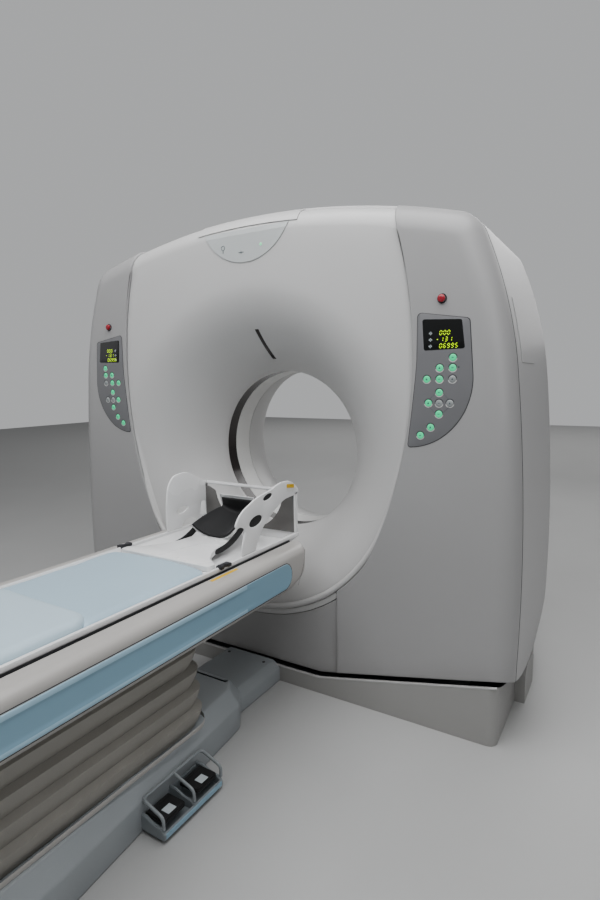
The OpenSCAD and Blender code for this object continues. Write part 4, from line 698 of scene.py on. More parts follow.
# A round-cornered outline from corner points: each corner is drawn with an arc of its own radius
def rounded(points, radius, n=7):
    out, count = [], len(points)
    p = [np.array(q, float) for q in points]
    for i in range(count):
        a, b, c = p[i - 1], p[i], p[(i + 1) % count]
        u, v = (a - b) / np.linalg.norm(a - b), (c - b) / np.linalg.norm(c - b)
        half = acos(max(-1, min(1, u @ v))) / 2
        r = radius[i] if isinstance(radius, (list, tuple)) else radius
        t = min(r / tan(half), 0.48 * np.linalg.norm(a - b), 0.48 * np.linalg.norm(c - b))
        r = t * tan(half)
        mid = b + unit(u + v) * (r / sin(half))
        s, e = b + u * t - mid, b + v * t - mid
        a0, turn = atan2(s[1], s[0]), (atan2(e[1], e[0]) - atan2(s[1], s[0]) + pi) % (2 * pi) - pi
        out += [mid + r * np.array([cos(a0 + turn * k / n), sin(a0 + turn * k / n)]) for k in range(n + 1)]
    return out

def shrunk(outline, d):
    p = np.array(outline, float)
    t = unit(np.roll(p, -1, 0) - np.roll(p, 1, 0))
    area = np.sum(p[:, 0] * np.roll(p[:, 1], -1) - p[:, 1] * np.roll(p[:, 0], -1))
    return p + np.stack([-t[:, 1], t[:, 0]], 1) * d * np.sign(area)

# A flat plate with holes; every edge is rounded
def plate(outline, holes, low, high, axis="z", r=2.0):
    bm = bmesh.new()
    caps = {0: [], 1: []}
    for k, contour in enumerate([outline] + list(holes)):
        levels = [(r * (1 - sin(a)), low + r * (1 - cos(a))) for a in (0, pi / 6, pi / 3, pi / 2)]
        levels += [(d, high + low - h) for d, h in reversed(levels)]
        rings = [[bm.verts.new(onAxis(q, h, axis)) for q in shrunk(contour, d if k == 0 else -d)] for d, h in levels]
        n = len(contour)
        for a, b in zip(rings, rings[1:]):
            for i in range(n):
                bm.faces.new((a[i], a[(i + 1) % n], b[(i + 1) % n], b[i]))
        for side, ring in ((0, rings[0]), (1, rings[-1])):
            caps[side] += [bm.edges.get((ring[i], ring[(i + 1) % n])) for i in range(n)]
    for side in caps:
        bmesh.ops.triangle_fill(bm, edges=caps[side], use_beauty=True)
    bmesh.ops.recalc_face_normals(bm, faces=bm.faces)
    return meshPart(bm)

# A soft pad: the mesh is remeshed, blown up a little by a cloth run, capped and made smooth
def swell(piece, voxel, pressure, cap):
    m = piece.modifiers.new("even", "REMESH")
    m.mode, m.voxel_size = "VOXEL", voxel
    bpy.context.view_layer.objects.active = piece
    bpy.ops.object.modifier_apply(modifier="even")
    start = np.array([v.co for v in piece.data.vertices])
    cloth = piece.modifiers.new("cloth", "CLOTH")
    s = cloth.settings
    s.use_pressure, s.uniform_pressure_force, s.quality = True, pressure, 4
    s.tension_stiffness = s.compression_stiffness = 25
    s.bending_stiffness, s.effector_weights.gravity = 3, 0
    cloth.collision_settings.use_collision = False
    for f in range(1, 21):
        scene.frame_set(f)
    grown = piece.evaluated_get(bpy.context.evaluated_depsgraph_get())
    end = np.array([v.co for v in grown.data.vertices])
    piece.modifiers.remove(cloth)
    size = np.linalg.norm(end - start, axis=1, keepdims=True)
    final = start + (end - start) * np.minimum(1, cap / np.maximum(size, 1e-9))
    final[:, 2] = np.maximum(final[:, 2], start[:, 2].min())
    piece.data.vertices.foreach_set("co", final.ravel())
    piece.data.update()
    scene.frame_set(1)
    piece.data.shade_smooth()

couch = dict(halfW=330, low=478, high=640, nose=-406, end=-2656, noseDepth=180, corner=62, midZ=588, slotHalf=252,
             slotZ=596, topRound=30, roundZ=610, stripLow=512, stripHigh=605, stripStart=-546, stripEnd=-2616,
             stripX=332, channelFrom=-770, channelDepth=1.6, shadowHalf=48, shadowWide=2.2,
             jointTop=628, jointHalf=0.9)

def noseW(y):
    d, c = couch["nose"] - y, couch["corner"]
    return couch["halfW"] if d >= c else couch["halfW"] - c + sqrt(max(0, c * c - (c - d) ** 2))

def noseLow(y):
    t, deep = (couch["nose"] - y) / couch["noseDepth"], couch["midZ"] - couch["low"]
    return couch["low"] if t >= 1 else couch["midZ"] - deep * sqrt(1 - (1 - t) ** 2)

# The frame's half section: how far in from the side, and how high, from the low middle to the slot's floor
def couchRing(y, inset=0.0):
    w, low, top = noseW(y) - inset, noseLow(y) + inset, couch["high"] - inset
    slotX, slotZ, turn = couch["slotHalf"], couch["slotZ"], couch["roundZ"]
    belly = [(w, 478), (70, 478), (42, 478), (26, 482), (13, 492), (5, 506), (1, 524), (0, 545), (0, 570), (0, 596)]
    k = (slotZ - low) / (slotZ - couch["low"])
    half = [(w - d, slotZ - (slotZ - z) * k) for d, z in belly]
    rt = min(couch["topRound"], w - slotX - 5)
    half += [(w - rt * (1 - cos(a)), turn + (top - turn) * sin(a)) for a in np.linspace(0, pi / 2, 9)]
    half += [(slotX + 3 + inset, top), (slotX + 0.8 + inset, top - 1), (slotX + inset, top - 3.5 - inset),
             (slotX + inset, slotZ + 1), (slotX - 3, slotZ - inset), (0, slotZ - inset)]
    return mirrorRing([(x, y, z) for x, z in half])

nose = couch["nose"]
behindNose = (7, 11, 16, 22, 30, 39, 50, 62, 76, 92, 110, 130, 150, 168, 180, 300, 600, 1000, 1500, 2000, 2244)
frameRings = [couchRing(nose - d, inset) for d, inset in ((0, 4.0), (0.8, 2.4), (2.4, 0.9), (4.5, 0.0))]
frameRings += [couchRing(nose - d) for d in behindNose]
frameRings += [couchRing(couch["end"] + 1.6, 1.2), couchRing(couch["end"], 4.0)]
place("frame_shell", loft(frameRings), "frame", "couch", closed=True, sharp=38, replaced=["couch_frame"],
      slot="couch_frame")

# The blue strip with its channel and beads, its shadow line, and the joint that turns over the nose
stripMid, stripH = (couch["stripLow"] + couch["stripHigh"]) / 2, (couch["stripHigh"] - couch["stripLow"]) / 2

def stripHalf(y):
    d = couch["stripStart"] - y
    return stripH if d >= stripH else sqrt(max(0, stripH * stripH - (stripH - d) ** 2))

def channel(s, y):
    run = max(0, min(1, (couch["channelFrom"] - y) / 120))
    inner = max(0, min(1, (0.66 - abs(s)) / 0.16))
    bead = max(0, 1 - ((abs(s) - 0.82) / 0.2) ** 2)
    return run * (couch["channelDepth"] * inner * inner * (3 - 2 * inner) - 2.2 * bead)

def stripPiece():
    ys = [couch["stripStart"] - d for d in (1.0, 3, 6, 10, 15, 21, 28, 36, stripH)]
    ys += list(np.linspace(-620, couch["stripEnd"], 60))
    half = [0.2, 0.34, 0.46, 0.54, 0.62, 0.72, 0.84, 0.93, 1]
    grid = [[(couch["stripX"] - channel(s, y), y, stripMid + s * stripHalf(y)) for y in ys]
            for s in [-s for s in reversed(half)] + [0] + half]
    part = patch(grid, "snwe", r=1.5, depth=5, flip=True)
    def onBead(face):
        _, y, z = np.mean([part[0][k] for k in face], axis=0)
        return 0.68 < abs(z - stripMid) / stripH and y < couch["channelFrom"] - 40
    return part, [int(onBead(f)) for f in part[1]]

def shadowPart():
    width = couch["shadowWide"]
    x, r, turns = couch["halfW"] + 0.3, couch["shadowHalf"], np.linspace(-pi / 2, pi / 2, 17)
    middle = couch["stripStart"] - stripH
    inner = [(middle + r * cos(a), stripMid + r * sin(a)) for a in turns]
    outer = [(y + width * cos(a), z + width * sin(a)) for (y, z), a in zip(inner, turns)]
    ends = [[(couch["stripEnd"], stripMid + s * h) for s in (-1, 1)] for h in (r, r + width)]
    lines = [[(x, *q) for q in (low, *line, high)] for line, (low, high) in zip((inner, outer), ends)]
    return patch(lines, flip=True)

def nosePart():
    joint, half = [], couch["jointHalf"]
    for t in np.linspace(0, 1, 25):
        y = -436 - 66 * t ** 1.7
        joint.append((y, couch["jointTop"] + (noseLow(y) + 8 - couch["jointTop"]) * t))
    rows = [[(noseW(y) + 0.35 - max(0, z - 612) ** 2 / 30, y + o, z) for y, z in joint] for o in (-half, half)]
    return patch(rows, flip=True)

strip, beads = stripPiece()
for side in sides:
    place(f"strip_{side}", sided(strip, side), ["strip", "bead"], "couch", faceFinish=beads,
          replaced=["side_trim_strips"] if side == "right" else (), slot="trim_strip", weld=0)
    place(f"strip_shadow_{side}", sided(shadowPart(), side), "seam", "couch", weld=0)
    place(f"nose_joint_{side}", sided(nosePart(), side), "seam", "couch", weld=0)
print("couch frame done")

tableTop = dict(halfW=240, floorZ=612, top=656, trayEnd=-345, trayBack=-790, rear=-2644)

# The table's half section, by the kind of its upper side: closed, the hollow tray, or the seat of the mattress
def tableRing(y, kind, inset=0.0):
    w, floorZ, top = tableTop["halfW"] - inset, tableTop["floorZ"] + inset, tableTop["top"]
    half = [(0, floorZ), (w - 42, floorZ), (w - 36, floorZ + 1), (w - 30, floorZ + 5), (w - 3, 638), (w - 0.6, 641),
            (w, 644), (w, 651 - inset), (w - 0.7, 654 - inset), (w - 3, top - inset)]
    inner = dict(solid=[(229, top), (226, top), (200, top), (120, top), (0, top)],
                 head=[(229, top), (227.6, 654), (227.6, 644.5), (198, 619.4), (0, 619.4)],
                 rear=[(231.5, top), (230, 654.6), (227.4, 643), (225, 640.2), (0, 640.2)])[kind]
    half += [(x, min(z, top - inset)) for x, z in inner]
    return mirrorRing([(x, y, z) for x, z in half])

end, back, rear = tableTop["trayEnd"], tableTop["trayBack"], tableTop["rear"]
tableRings = [tableRing(*ring) for ring in (
    (end, "solid", 3), (end - 0.9, "solid", 0.9), (end - 3, "solid"), (-355.4, "solid"), (-356.2, "head"),
    (-600, "head"), (back + 0.4, "head"), (back - 0.4, "rear"), (-1500, "rear"), (rear + 3, "rear"), (rear, "rear", 3))]
place("table_shell", loft(tableRings), "table", "table", closed=True, sharp=35, replaced=["tabletop"], slot="tabletop")

# Painted shade: dark strips that stand in the slots of the frame, beside the table, where the gap and the table's side
# lie in shadow
slotShadowPart = boxPart((242, couch["end"] + 16, couch["slotZ"] + 0.2), (244.5, couch["nose"] - 16, 639), 1.0, 2)
place("slot_seals", bothSides(slotShadowPart), "rim", "couch", closed=True, slot="couch_frame")

# Clips over the table edge, each with a round screw head
clips = dict(inner=226, outer=251, waist=243, front=-796, back=-850, low=650.2, high=661.5, screw=(236, -842))
wide, waist, front, back = (clips[k] for k in ("outer", "waist", "front", "back"))
clipLine = [(clips["inner"], back), (wide, back), (wide, back + 14), (waist, back + 20), (waist, front - 20),
            (wide, front - 14), (wide, front), (clips["inner"], front)]
clip = gather(prism(clipLine, clips["low"], clips["high"], "z", 1.6, 2),
              turned([(0.1, 8), (5.5, 8), (6.5, 7), (6.5, 0)], (*clips["screw"], tableTop["top"]), "z", 18))
placePair("clip", clip, "rim", "table", order=("left", "right"), closed=True, slot="tabletop")

# Mattress: a thin front part and the main pad on it, both crowned
pads = dict(halfW=225, seat=640.3, front=-862, step=-1318, rear=-2612, thinTop=655, mainTop=671.5, roundEdge=16,
            crown=1.6)

# A pad from frontAt(x) to y1: crowned, with round edges and front corners and a faint ripple
def padPart(frontAt, y1, w, low, high, corner, nx, ny, wave):
    def fall(d):
        return min(1, max(0, d) / pads["roundEdge"]) ** 0.5
    topRows, lowRows = [], []
    for j in range(ny + 1):
        upperRow, lowerRow = [], []
        for x in (w * sin(pi / 2 * s) for s in np.linspace(-1, 1, nx + 1)):
            over = max(0, abs(x) - (w - corner))
            a = frontAt(x) - (corner - sqrt(max(0, corner ** 2 - over ** 2)))
            y = a + (y1 - a) * 0.5 * (1 - cos(pi * j / ny))
            edge = fall(w - abs(x)) * fall(a - y) * fall(y - y1)
            ripple = wave * (0.5 * sin(x * 0.021 + y * 0.008) + 0.35 * sin(y * 0.031 + x * 0.006 + 1.3))
            full = high - low - 2.5 + ripple * 0.6 + (1 - (x / w) ** 2) * pads["crown"]
            upperRow.append((x, y, low + (full * (0.42 + 0.58 * edge) if edge > 0 else (high - low) * 0.42)))
            lowerRow.append((x, y, low))
        topRows.append(upperRow)
        lowRows.append(lowerRow)
    verts = [p for r in topRows + lowRows for p in r]
    m, n = ny + 1, nx + 1
    faces = gridFaces(m, n) + [tuple(k + m * n for k in f) for f in gridFaces(m, n, flip=True)]
    border = list(range(n)) + [i * n + n - 1 for i in range(1, m)]
    border += [(m - 1) * n + j for j in range(n - 2, -1, -1)] + [i * n for i in range(m - 2, 0, -1)]
    return verts, faces + [(a, b, b + m * n, a + m * n) for a, b in zip(border, border[1:] + border[:1])]

thinPad = padPart(lambda x: pads["front"] - (x * x) / 1800, pads["step"] - 45, pads["halfW"], pads["seat"],
                  pads["thinTop"] + 3, 26, 30, 40, 1.6)
mainPad = padPart(lambda x: pads["step"], pads["rear"], pads["halfW"] - 1, pads["seat"] + 0.2, pads["mainTop"], 70, 30,
                  80, 1.4)
thin = place("mattress_front", thinPad, "pad", "table", closed=True, sharp=80, replaced=["mattress"], slot="mattress")
main = place("mattress_main", mainPad, "padLight", "table", closed=True, sharp=80, slot="mattress")
for piece in (thin, main):
    swell(piece, 0.007, 2.5, 0.004)
print("table and mattress done")

# Head holder: tongue, tilted cup with its foam, two arms with holes, a bar and smoked gussets
holder = dict(cupR=133, rimHalf=97, tilt=19.4, length=189, front=-592, low=666, pad=8.7, shell=5, armX=229, armT=8)
rimA = asin(holder["rimHalf"] / holder["cupR"])

def cupPoint(y, r, a, rise=0.0):
    x, z = r * sin(a), holder["cupR"] - r * cos(a) + rise
    t = radians(holder["tilt"])
    return (x, holder["front"] + y * cos(t) - z * sin(t), holder["low"] + y * sin(t) + z * cos(t))

# The cup's sheet: a half-round trough that narrows towards the back and turns up there
def cupSheet(r, y0, turn, high, back, a1=rimA):
    def angles(y):
        reach = a1 * (1 - 0.24 * max(0, y / holder["length"]) ** 2)
        return np.linspace(-reach, reach, 25)
    rows = [[cupPoint(y, r, a) for a in angles(y)] for y in np.linspace(y0, back - turn, 14)]
    rows += [[cupPoint(back - turn + turn * sin(b), r, a, turn * (1 - cos(b))) for a in angles(back)]
             for b in np.linspace(0, pi / 2, 7)[1:]]
    rows += [[cupPoint(back, r, a, turn + max(0, high - holder["cupR"] + r * cos(a) - turn) * k) for a in angles(back)]
             for k in np.linspace(0, 1, 6)[1:]]
    return rows

foamPart = patch(cupSheet(holder["cupR"], 4, 16, 60, 181), "snwe", r=3.2, depth=holder["pad"] - 1)
foam = place("head_foam", foamPart, "black", "table", replaced=["head_pad"], slot="head_pad", weld=0)

# The near arm's outline and holes (y, z, half sizes, tilt); the far arm is an upright wall with a paddle
shellR = holder["cupR"] + holder["pad"] + holder["shell"] + 0.3
arm = [(-719.5, 656.4), (-717, 684), (-708, 712), (-697, 736), (-703, 753), (-726, 762), (-745, 761), (-750, 774),
       (-739, 791), (-724, 806), (-701, 820), (-665, 834), (-635, 845), (-585, 855), (-526, 864), (-492, 874),
       (-450, 879), (-399, 873), (-362, 852), (-338, 828), (-350, 815), (-367, 812), (-437, 808), (-487, 791),
       (-536, 766), (-576, 741), (-602, 720), (-622, 692), (-634, 668), (-639, 656.4)]

def oval(cy, cz, a, b, tilt, n=40):
    t = radians(tilt)
    return [(cy + a * cos(s) * cos(t) - b * sin(s) * sin(t), cz + a * cos(s) * sin(t) + b * sin(s) * cos(t))
            for s in np.linspace(0, 2 * pi, n, endpoint=False)]

armFrom, armTo = holder["armX"], holder["armX"] + holder["armT"]
armHoles = [(-634, 765, 40, 18, 8), (-556, 839, 29, 10, 9)]
armPart = plate(smoothPath(arm, 4), [oval(*h) for h in armHoles], armFrom, armTo, "x", 2.4)
farArm = [(-604, 656.4), (-609, 700), (-605, 778), (-594, 838), (-563, 877), (-520, 886), (-479, 884), (-426, 861),
          (-392, 840), (-360, 832)]
farLine = smoothPath(farArm, 5) + [(-338, 760), (-338, 656.4), (-421, 656.4)]
farLine += [(-471.5 + 50.5 * cos(a), 656.4 + 31 * sin(a)) for a in np.linspace(0.06, pi - 0.06, 17)] + [(-522, 656.4)]
slot = rounded([(-408, 686), (-352, 686), (-352, 745), (-396, 745)], 9, 5)
farPart = plate(farLine, [oval(-517, 731, 34, 13, 8), slot], armFrom, armTo, "x", 2.0)
# Dark plates in the arms' holes: painted shade for the shaded space seen through them
holeShadows = gather(*[plate(oval(y, z, a + 1.5, b + 1.5, tilt), [], armFrom + 1.5, armFrom + 4.5, "x", 0.5)
                for y, z, a, b, tilt in armHoles])

# The flat tongue that carries the cup, the bar between the arms with its posts, and the cup's shell
tongueHalf = [(209, -868), (211, -834), (158, -799), (118, -740), (98, -689), (92, -610), (60, -566)]
tongueRound = [10, 12, 40, 50, 60, 30, 20]
tongueLine = [(-209, -868)] + tongueHalf + [(-x, y) for x, y in reversed(tongueHalf[1:])]
tongue = plate(rounded(tongueLine, [10] + tongueRound + tongueRound[:0:-1], 6), [], 640.4, 660, "z", 2.2)
crossBar = boxPart((-230.5, -365, 818.3), (230.5, -349.3, 831.8), 4.2, 4)
post = boxPart((229, -367, 656.4), (237, -347, 822), 1.8)
cupShell = patch(cupSheet(shellR, 0.5, 20, 76, 189, rimA + 0.01), "snwe", r=1.6, depth=4.6, flip=True)
holderPart = gather(armPart, mirrorPart(farPart), tongue, crossBar, bothSides(post))
place("head_holder_shell", holderPart, "holder", "table", closed=True, replaced=["head_holder"], slot="tabletop",
      weld=0)
place("head_cup_shell", cupShell, "holder", "table", slot="tabletop", weld=0)

# Smoked gussets under the bar, dark plates of painted shade in the arms' holes, the foam beside the cup, and the plain
# stickers
gusset = [(229.6, 656.6)] + [(x, 830 - sqrt(180 ** 2 - x * x)) for x in np.linspace(40, 176, 14)]
gusset += [(190, 800), (205, 806), (218, 810), (229.6, 812)]
gussetPart = plate(gusset, [], -365.8, -361, "y", 0.8)
place("head_gussets", bothSides(gussetPart), "smoke", "table", closed=True, slot="tabletop", weld=0)
place("arm_hole_linings", holeShadows, "black", "table", closed=True, slot="head_pad", weld=0)
under = smoothPath([(-520, 703), (-560, 676), (-610, 652), (-660, 641.5), (-704, 641), (-706, 655), (-650, 664),
                    (-600, 684), (-560, 706), (-530, 722)], 4)
place("cup_side_foam", bothSides(plate(under, [], 101, 108, "x", 2.0)), "black", "table", closed=True,
      slot="head_pad", weld=0)
for label, z in (("yellow", 847), ("white", 831)):
    tag = rounded([(-428, z + 4), (-374, z - 4), (-374, z + 11), (-428, z + 19)], 2, 3)
    tag = prism(tag, armTo + 0.05, armTo + 0.5, "x", 0.1, 1)
    place("arm_sticker_" + label, tag, label, "table", closed=True, weld=0)
edgeTag = prism(rounded([(262, -790), (274, -790), (274, -925), (262, -925)], 2, 3), 639.9, 640.5, "z", 0.1, 1)
place("frame_sticker", edgeTag, "yellow", "couch", closed=True, weld=0)
print("head holder done")

# Bellows between base and couch: five pleats, each a rounded roll over the next, with a hemmed skirt
bellows = dict(low=150.6, high=477.4, halfTop=205, halfLow=236, front=-900, length=1450, corner=70, pleats=5,
               depth=23, steps=9)

# One ring of the sleeve, drawn in by the fold
def pleatRing(hw, fold, z, sway):
    r, x = bellows["corner"], hw - fold
    y0, y1 = bellows["front"] - bellows["length"] + fold, bellows["front"] - fold
    def line(a, b, n):
        return [(a[0] + (b[0] - a[0]) * k / n, a[1] + (b[1] - a[1]) * k / n) for k in range(n)]
    def corner(cx, cy, a0):
        return [(cx + r * cos(a0 + pi / 2 * k / 9), cy + r * sin(a0 + pi / 2 * k / 9)) for k in range(9)]
    pts = corner(x - r, y1 - r, 0) + line((x - r, y1), (-x + r, y1), 8) + corner(-x + r, y1 - r, pi / 2)
    pts += line((-x, y1 - r), (-x, y0 + r), 34) + corner(-x + r, y0 + r, pi) + line((-x + r, y0), (x - r, y0), 8)
    pts += corner(x - r, y0 + r, 3 * pi / 2) + line((x, y0 + r), (x, y1 - r), 34)
    out = []
    for px, py in pts:
        wob = sway * (0.8 * sin(py * 0.013 + z * 0.05) + 0.6 * sin(py * 0.031 + z * 0.02 + px * 0.01))
        out.append((px * (1 + wob / 400), py, z + wob * 0.6))
    return out

def sleevePart():
    rows, count = [], bellows["pleats"] * bellows["steps"]
    for i in range(count + 1):
        t = i / count
        s = (t * bellows["pleats"]) % 1 if i < count else 1.0
        fold = bellows["depth"] * ((1 - s) ** 1.6 if s > 0.12 else 0.815 + 0.185 * (1 - s / 0.12))
        z = bellows["low"] + (bellows["high"] - bellows["low"]) * t - (3.5 * sin(pi * s) if 0 < i < count else 0)
        hw = bellows["halfLow"] + (bellows["halfTop"] - bellows["halfLow"]) * t
        rows.append(pleatRing(hw, fold, max(bellows["low"], z), 1.0 if 0 < s < 1 else 0.2))
    return patch(rows, wrap=True)

sleeve = place("bellows_sleeve", sleevePart(), "bellows", None, replaced=["bellows"], slot="bellows", sharp=60, weld=0)
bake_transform(sleeve)
hem = [pleatRing(bellows["halfLow"] + out, 0, z, 0) for z, out in ((151, 1.5), (156, 2.4), (164, 2.4), (166, 1.4))]
place("bellows_hem", patch(hem, wrap=True), "frame", "base", weld=0, slot="couch_base")
print("bellows done")

# Couch base: a tapered box on a round-cornered plan, and the bridge to the gantry plinth
basePlan = dict(neck=205, foot=280, front=-715, wide=-1500, end=-2450, bridgeHalf=149, bridgeZ=84, cut=90)
neck, foot, cutBack, baseEnd = basePlan["neck"], basePlan["foot"], basePlan["cut"], basePlan["end"]
planHalf = [(foot - cutBack, baseEnd), (foot, baseEnd + cutBack), (foot, basePlan["wide"]), (neck, basePlan["front"]),
            (basePlan["bridgeHalf"], -640)]
planRound = [40, 70, 500, 110, 110]
outline = rounded([(-x, y) for x, y in reversed(planHalf)] + planHalf, planRound + planRound[::-1], 8)
levels = [(0.5, 2.5), (3, 0.4), (6, 0), (88, 0), (93, 0.7), (97, 2.6), (100, 5), (143, 33), (147, 36.5), (149.4, 41),
          (150, 46), (150, 60)]
baseRings = [[(q[0], q[1], z) for q in shrunk(outline, inset)] for z, inset in levels]
bridgeLine = [(149, 0.5), (149, 52), (146, 58), (119, 81), (112, basePlan["bridgeZ"])]
bridge = prism([(-149, 0.5)] + bridgeLine + [(-x, z) for x, z in reversed(bridgeLine[1:])], -730, -361, "y", 2.2, 3)
place("base_shell", gather(loft(baseRings), bridge), "base", "base", closed=True, sharp=40, replaced=["couch_base"],
      slot="couch_base", weld=0)
for sign, side in ((-1, "left"), (1, "right")):
    screw = turned([(0.1, 1.3), (1.6, 1.3), (1.7, 0.3), (4.6, 0.5), (5.4, 1.6), (6.3, 1.4), (6.8, 0)],
                   (sign * 92, -402, basePlan["bridgeZ"]), "z", 24)
    place("bridge_screw_" + side, screw, "dark", "base")

# A pale lip on the plinth's upper edge, under the shadow of the keel
lip = [(x, -366.3, isoZ - sqrt((keelAt(x) + 15) ** 2 - 362 ** 2)) for x in np.linspace(-1032, 1032, 61)]
lipRows = [[(x, y + dy, z + dz) for x, y, z in lip]
           for dy, dz in ((0, -7.0), (-0.9, -5.5), (-0.9, -1.0), (0.4, -0.2), (7, -0.2))]
place("plinth_lip", patch(lipRows), "cover", "base", weld=0, slot="couch_base")

# Pedal unit: a shallow tray with shaped cheeks and a pale edge, two rubber pedals with blank labels
tray = dict(inner=237, y0=-1239, y1=-986, pedals=(-1043, -1182), pedalFrom=258, pedalTo=332, pedalTop=57, length=92)
inner, y0, y1 = tray["inner"], tray["y0"], tray["y1"]
cheek = rounded([(inner, 11), (344, 11), (344, 30), (330, 43), (296, 47), (268, 58), (inner, 58)],
                [2, 6, 7, 12, 14, 8, 3], 5)
cheeks = [prism(cheek, low, high, "y", 1.8, 3) for low, high in ((y0, y0 + 10), (y1 - 10, y1), (-1116.5, -1108.5))]
trayPart = gather(boxPart((inner, y0 + 3, 10.3), (343, y1 - 3, 17)), boxPart((inner, y0 + 3, 12), (244, y1 - 3, 50)),
                  *cheeks, boxPart((336, y0 + 4, 12), (342.5, y1 - 4, 33)))
trayEdge = boxPart((341.5, y0 + 6, 14), (344.8, y1 - 6, 30), 1.3)
place("pedal_tray_shell", trayPart, "tray", "base", closed=True, replaced=["foot_pedal_tray"], slot="couch_base",
      weld=0)
place("pedal_tray_edge", trayEdge, "blueEdge", "base", closed=True, weld=0)
for name, y in zip(("pedal_raise", "pedal_lower"), tray["pedals"]):
    half, near, far, top = tray["length"] / 2, tray["pedalFrom"], tray["pedalTo"], tray["pedalTop"]
    pad = prism(rounded([(near, y - half), (far, y - half), (far, y + half), (near, y + half)], [5, 14, 14, 5], 6),
                45, top, "z", 2.6, 4)
    ribs = [bar([(x, y - half + 9, top), (x, y + half - 9, top)], 1.2, 8) for x in (270, 322.5)]
    place(name + "_pad", gather(pad, *ribs), "rubber", name, closed=True, replaced=[name], slot="pedal", weld=0)
    place(name + "_label", boxPart((292, y - 16, top), (322, y + 16, top + 0.7), 0.3, 2), "label", name, closed=True,
          weld=0)
print("base done")

# Control panels: foil plate, glass with three rows of seven-segment figures, domed keys
panel = dict(face=-356.0, key=12.3, estop=(814, 1530), figures=("000", "-131", "06995"), middleX=1643,
             digit=(7.6, 14, 1.3))
face = panel["face"]

# The panel's outline, grown by g
def foilOutline(g):
    pts = [(701 - g, 1028 - g), (715 - g, 1150), (727 - g, 1270), (731 - g, 1330), (731 - g, 1489 + g),
           (907 + g, 1460 + g)]
    pts += [(700 + (222 + g) * cos(a), 1267 + (239 + g) * sin(a)) for a in (-pi / 2 * i / 14 for i in range(14))]
    return rounded(pts, [14, 200, 200, 200, 15, 15] + [200] * 14, 5)

keyPlaces = [(855, 1335.25), (811, 1301.5), (855, 1301.5), (767, 1264), (811, 1264), (855, 1264), (811, 1219),
             (774, 1183), (811, 1183), (848, 1183), (811, 1146), (783, 1100), (747, 1071)]
greyKeys = {5, 8, 9}
segments = {"0": "abcdef", "1": "bc", "3": "abcdg", "5": "acdfg", "6": "acdefg", "9": "abcdfg", "-": "g"}

# A seven-segment figure
def figure(char, x, z):
    w, h, lean = panel["digit"]
    ends = dict(a=((0, h), (w, h)), b=((w, h / 2), (w, h)), c=((w, 0), (w, h / 2)), d=((0, 0), (w, 0)),
                e=((0, 0), (0, h / 2)), f=((0, h / 2), (0, h)), g=((0, h / 2), (w, h / 2)))
    parts = []
    for s in segments[char]:
        a, b = (np.array([x + px + pz * 0.14, z + pz]) for px, pz in ends[s])
        u = (b - a) / np.linalg.norm(b - a)
        v = np.array([-u[1], u[0]]) * lean
        pts = [a + u * 1.2, a + u * 2.6 + v, b - u * 2.6 + v, b - u * 1.2, b - u * 2.6 - v, a + u * 2.6 - v]
        parts.append(prism(pts, face - 0.75, face - 0.2, "y", 0))
    return parts

def dome(x, z):
    return turned([(0.1, -2.5), (5, -2.35), (9, -1.75), (11.2, -0.9), (12.0, 0.0), (12.2, 1.6), (12.2, 4)],
                  (x, face, z), "y", 32)

# A fine arc round a key: round the lower half it is a painted highlight, round the upper half a painted shadow
def keyRing(x, z, low):
    r = panel["key"] + 0.4
    a = np.linspace(pi * 1.08, pi * 1.92, 15) if low else np.linspace(0.06 * pi, 0.94 * pi, 15)
    rows = [[(x + (r + w) * cos(t), face - h, z + (r + w) * sin(t)) for t in a]
            for w, h in ((0.0, 0.15), (1.3, 0.5), (2.6, 0.15))]
    return patch(rows, flip=True)

def flatBox(x0, x1, z0, z1, high=0.7, low=0.3):
    return boxPart((x0, face - high, z0), (x1, face - low, z1), 0.1, 1)

def keySign(k, x, z):
    if k % 2:
        return prism([(x - 3.4, z - 3), (x + 3.4, z - 3), (x, z + 4)], face - 2.75, face - 2.0, "y", 0)
    return flatBox(x - 3.5, x + 3.5, z - 1, z + 1, 2.75, 2.0)

def panelFigures(side):
    lit, marks = [], []
    for row, text in enumerate(panel["figures"]):
        z, start, step = 1411 - 21.5 * row, 797 if row == 1 else 808, 13.2 * (1.12 if row == 1 else 1.0)
        for k, char in enumerate(text):
            lit += figure(char, start + step * k, z)
        marks += [flatBox(772, 783, z + 4, z + 9), flatBox(776, 779.5, z + 1, z + 12)]
    if side == "left":
        lit = [([(panel["middleX"] - v[0], v[1], v[2]) for v in q], [tuple(reversed(f)) for f in fs]) for q, fs in lit]
    return gather(*lit), gather(*marks)

def panelLines():
    corners, parts = [(811, 1229), (858, 1183), (811, 1137), (764, 1183)], []
    for a, b in zip(corners, corners[1:] + corners[:1]):
        ends = [np.array(a) + (np.array(b) - np.array(a)) * s for s in (0.24, 0.76)]
        parts.append(bar([(x, face - 0.1, z) for x, z in ends], 0.55, 8))
    return gather(*parts, turned([(0.1, -0.5), (2.8, -0.5), (3.2, 0)], (875, face, 1303), "y", 20))
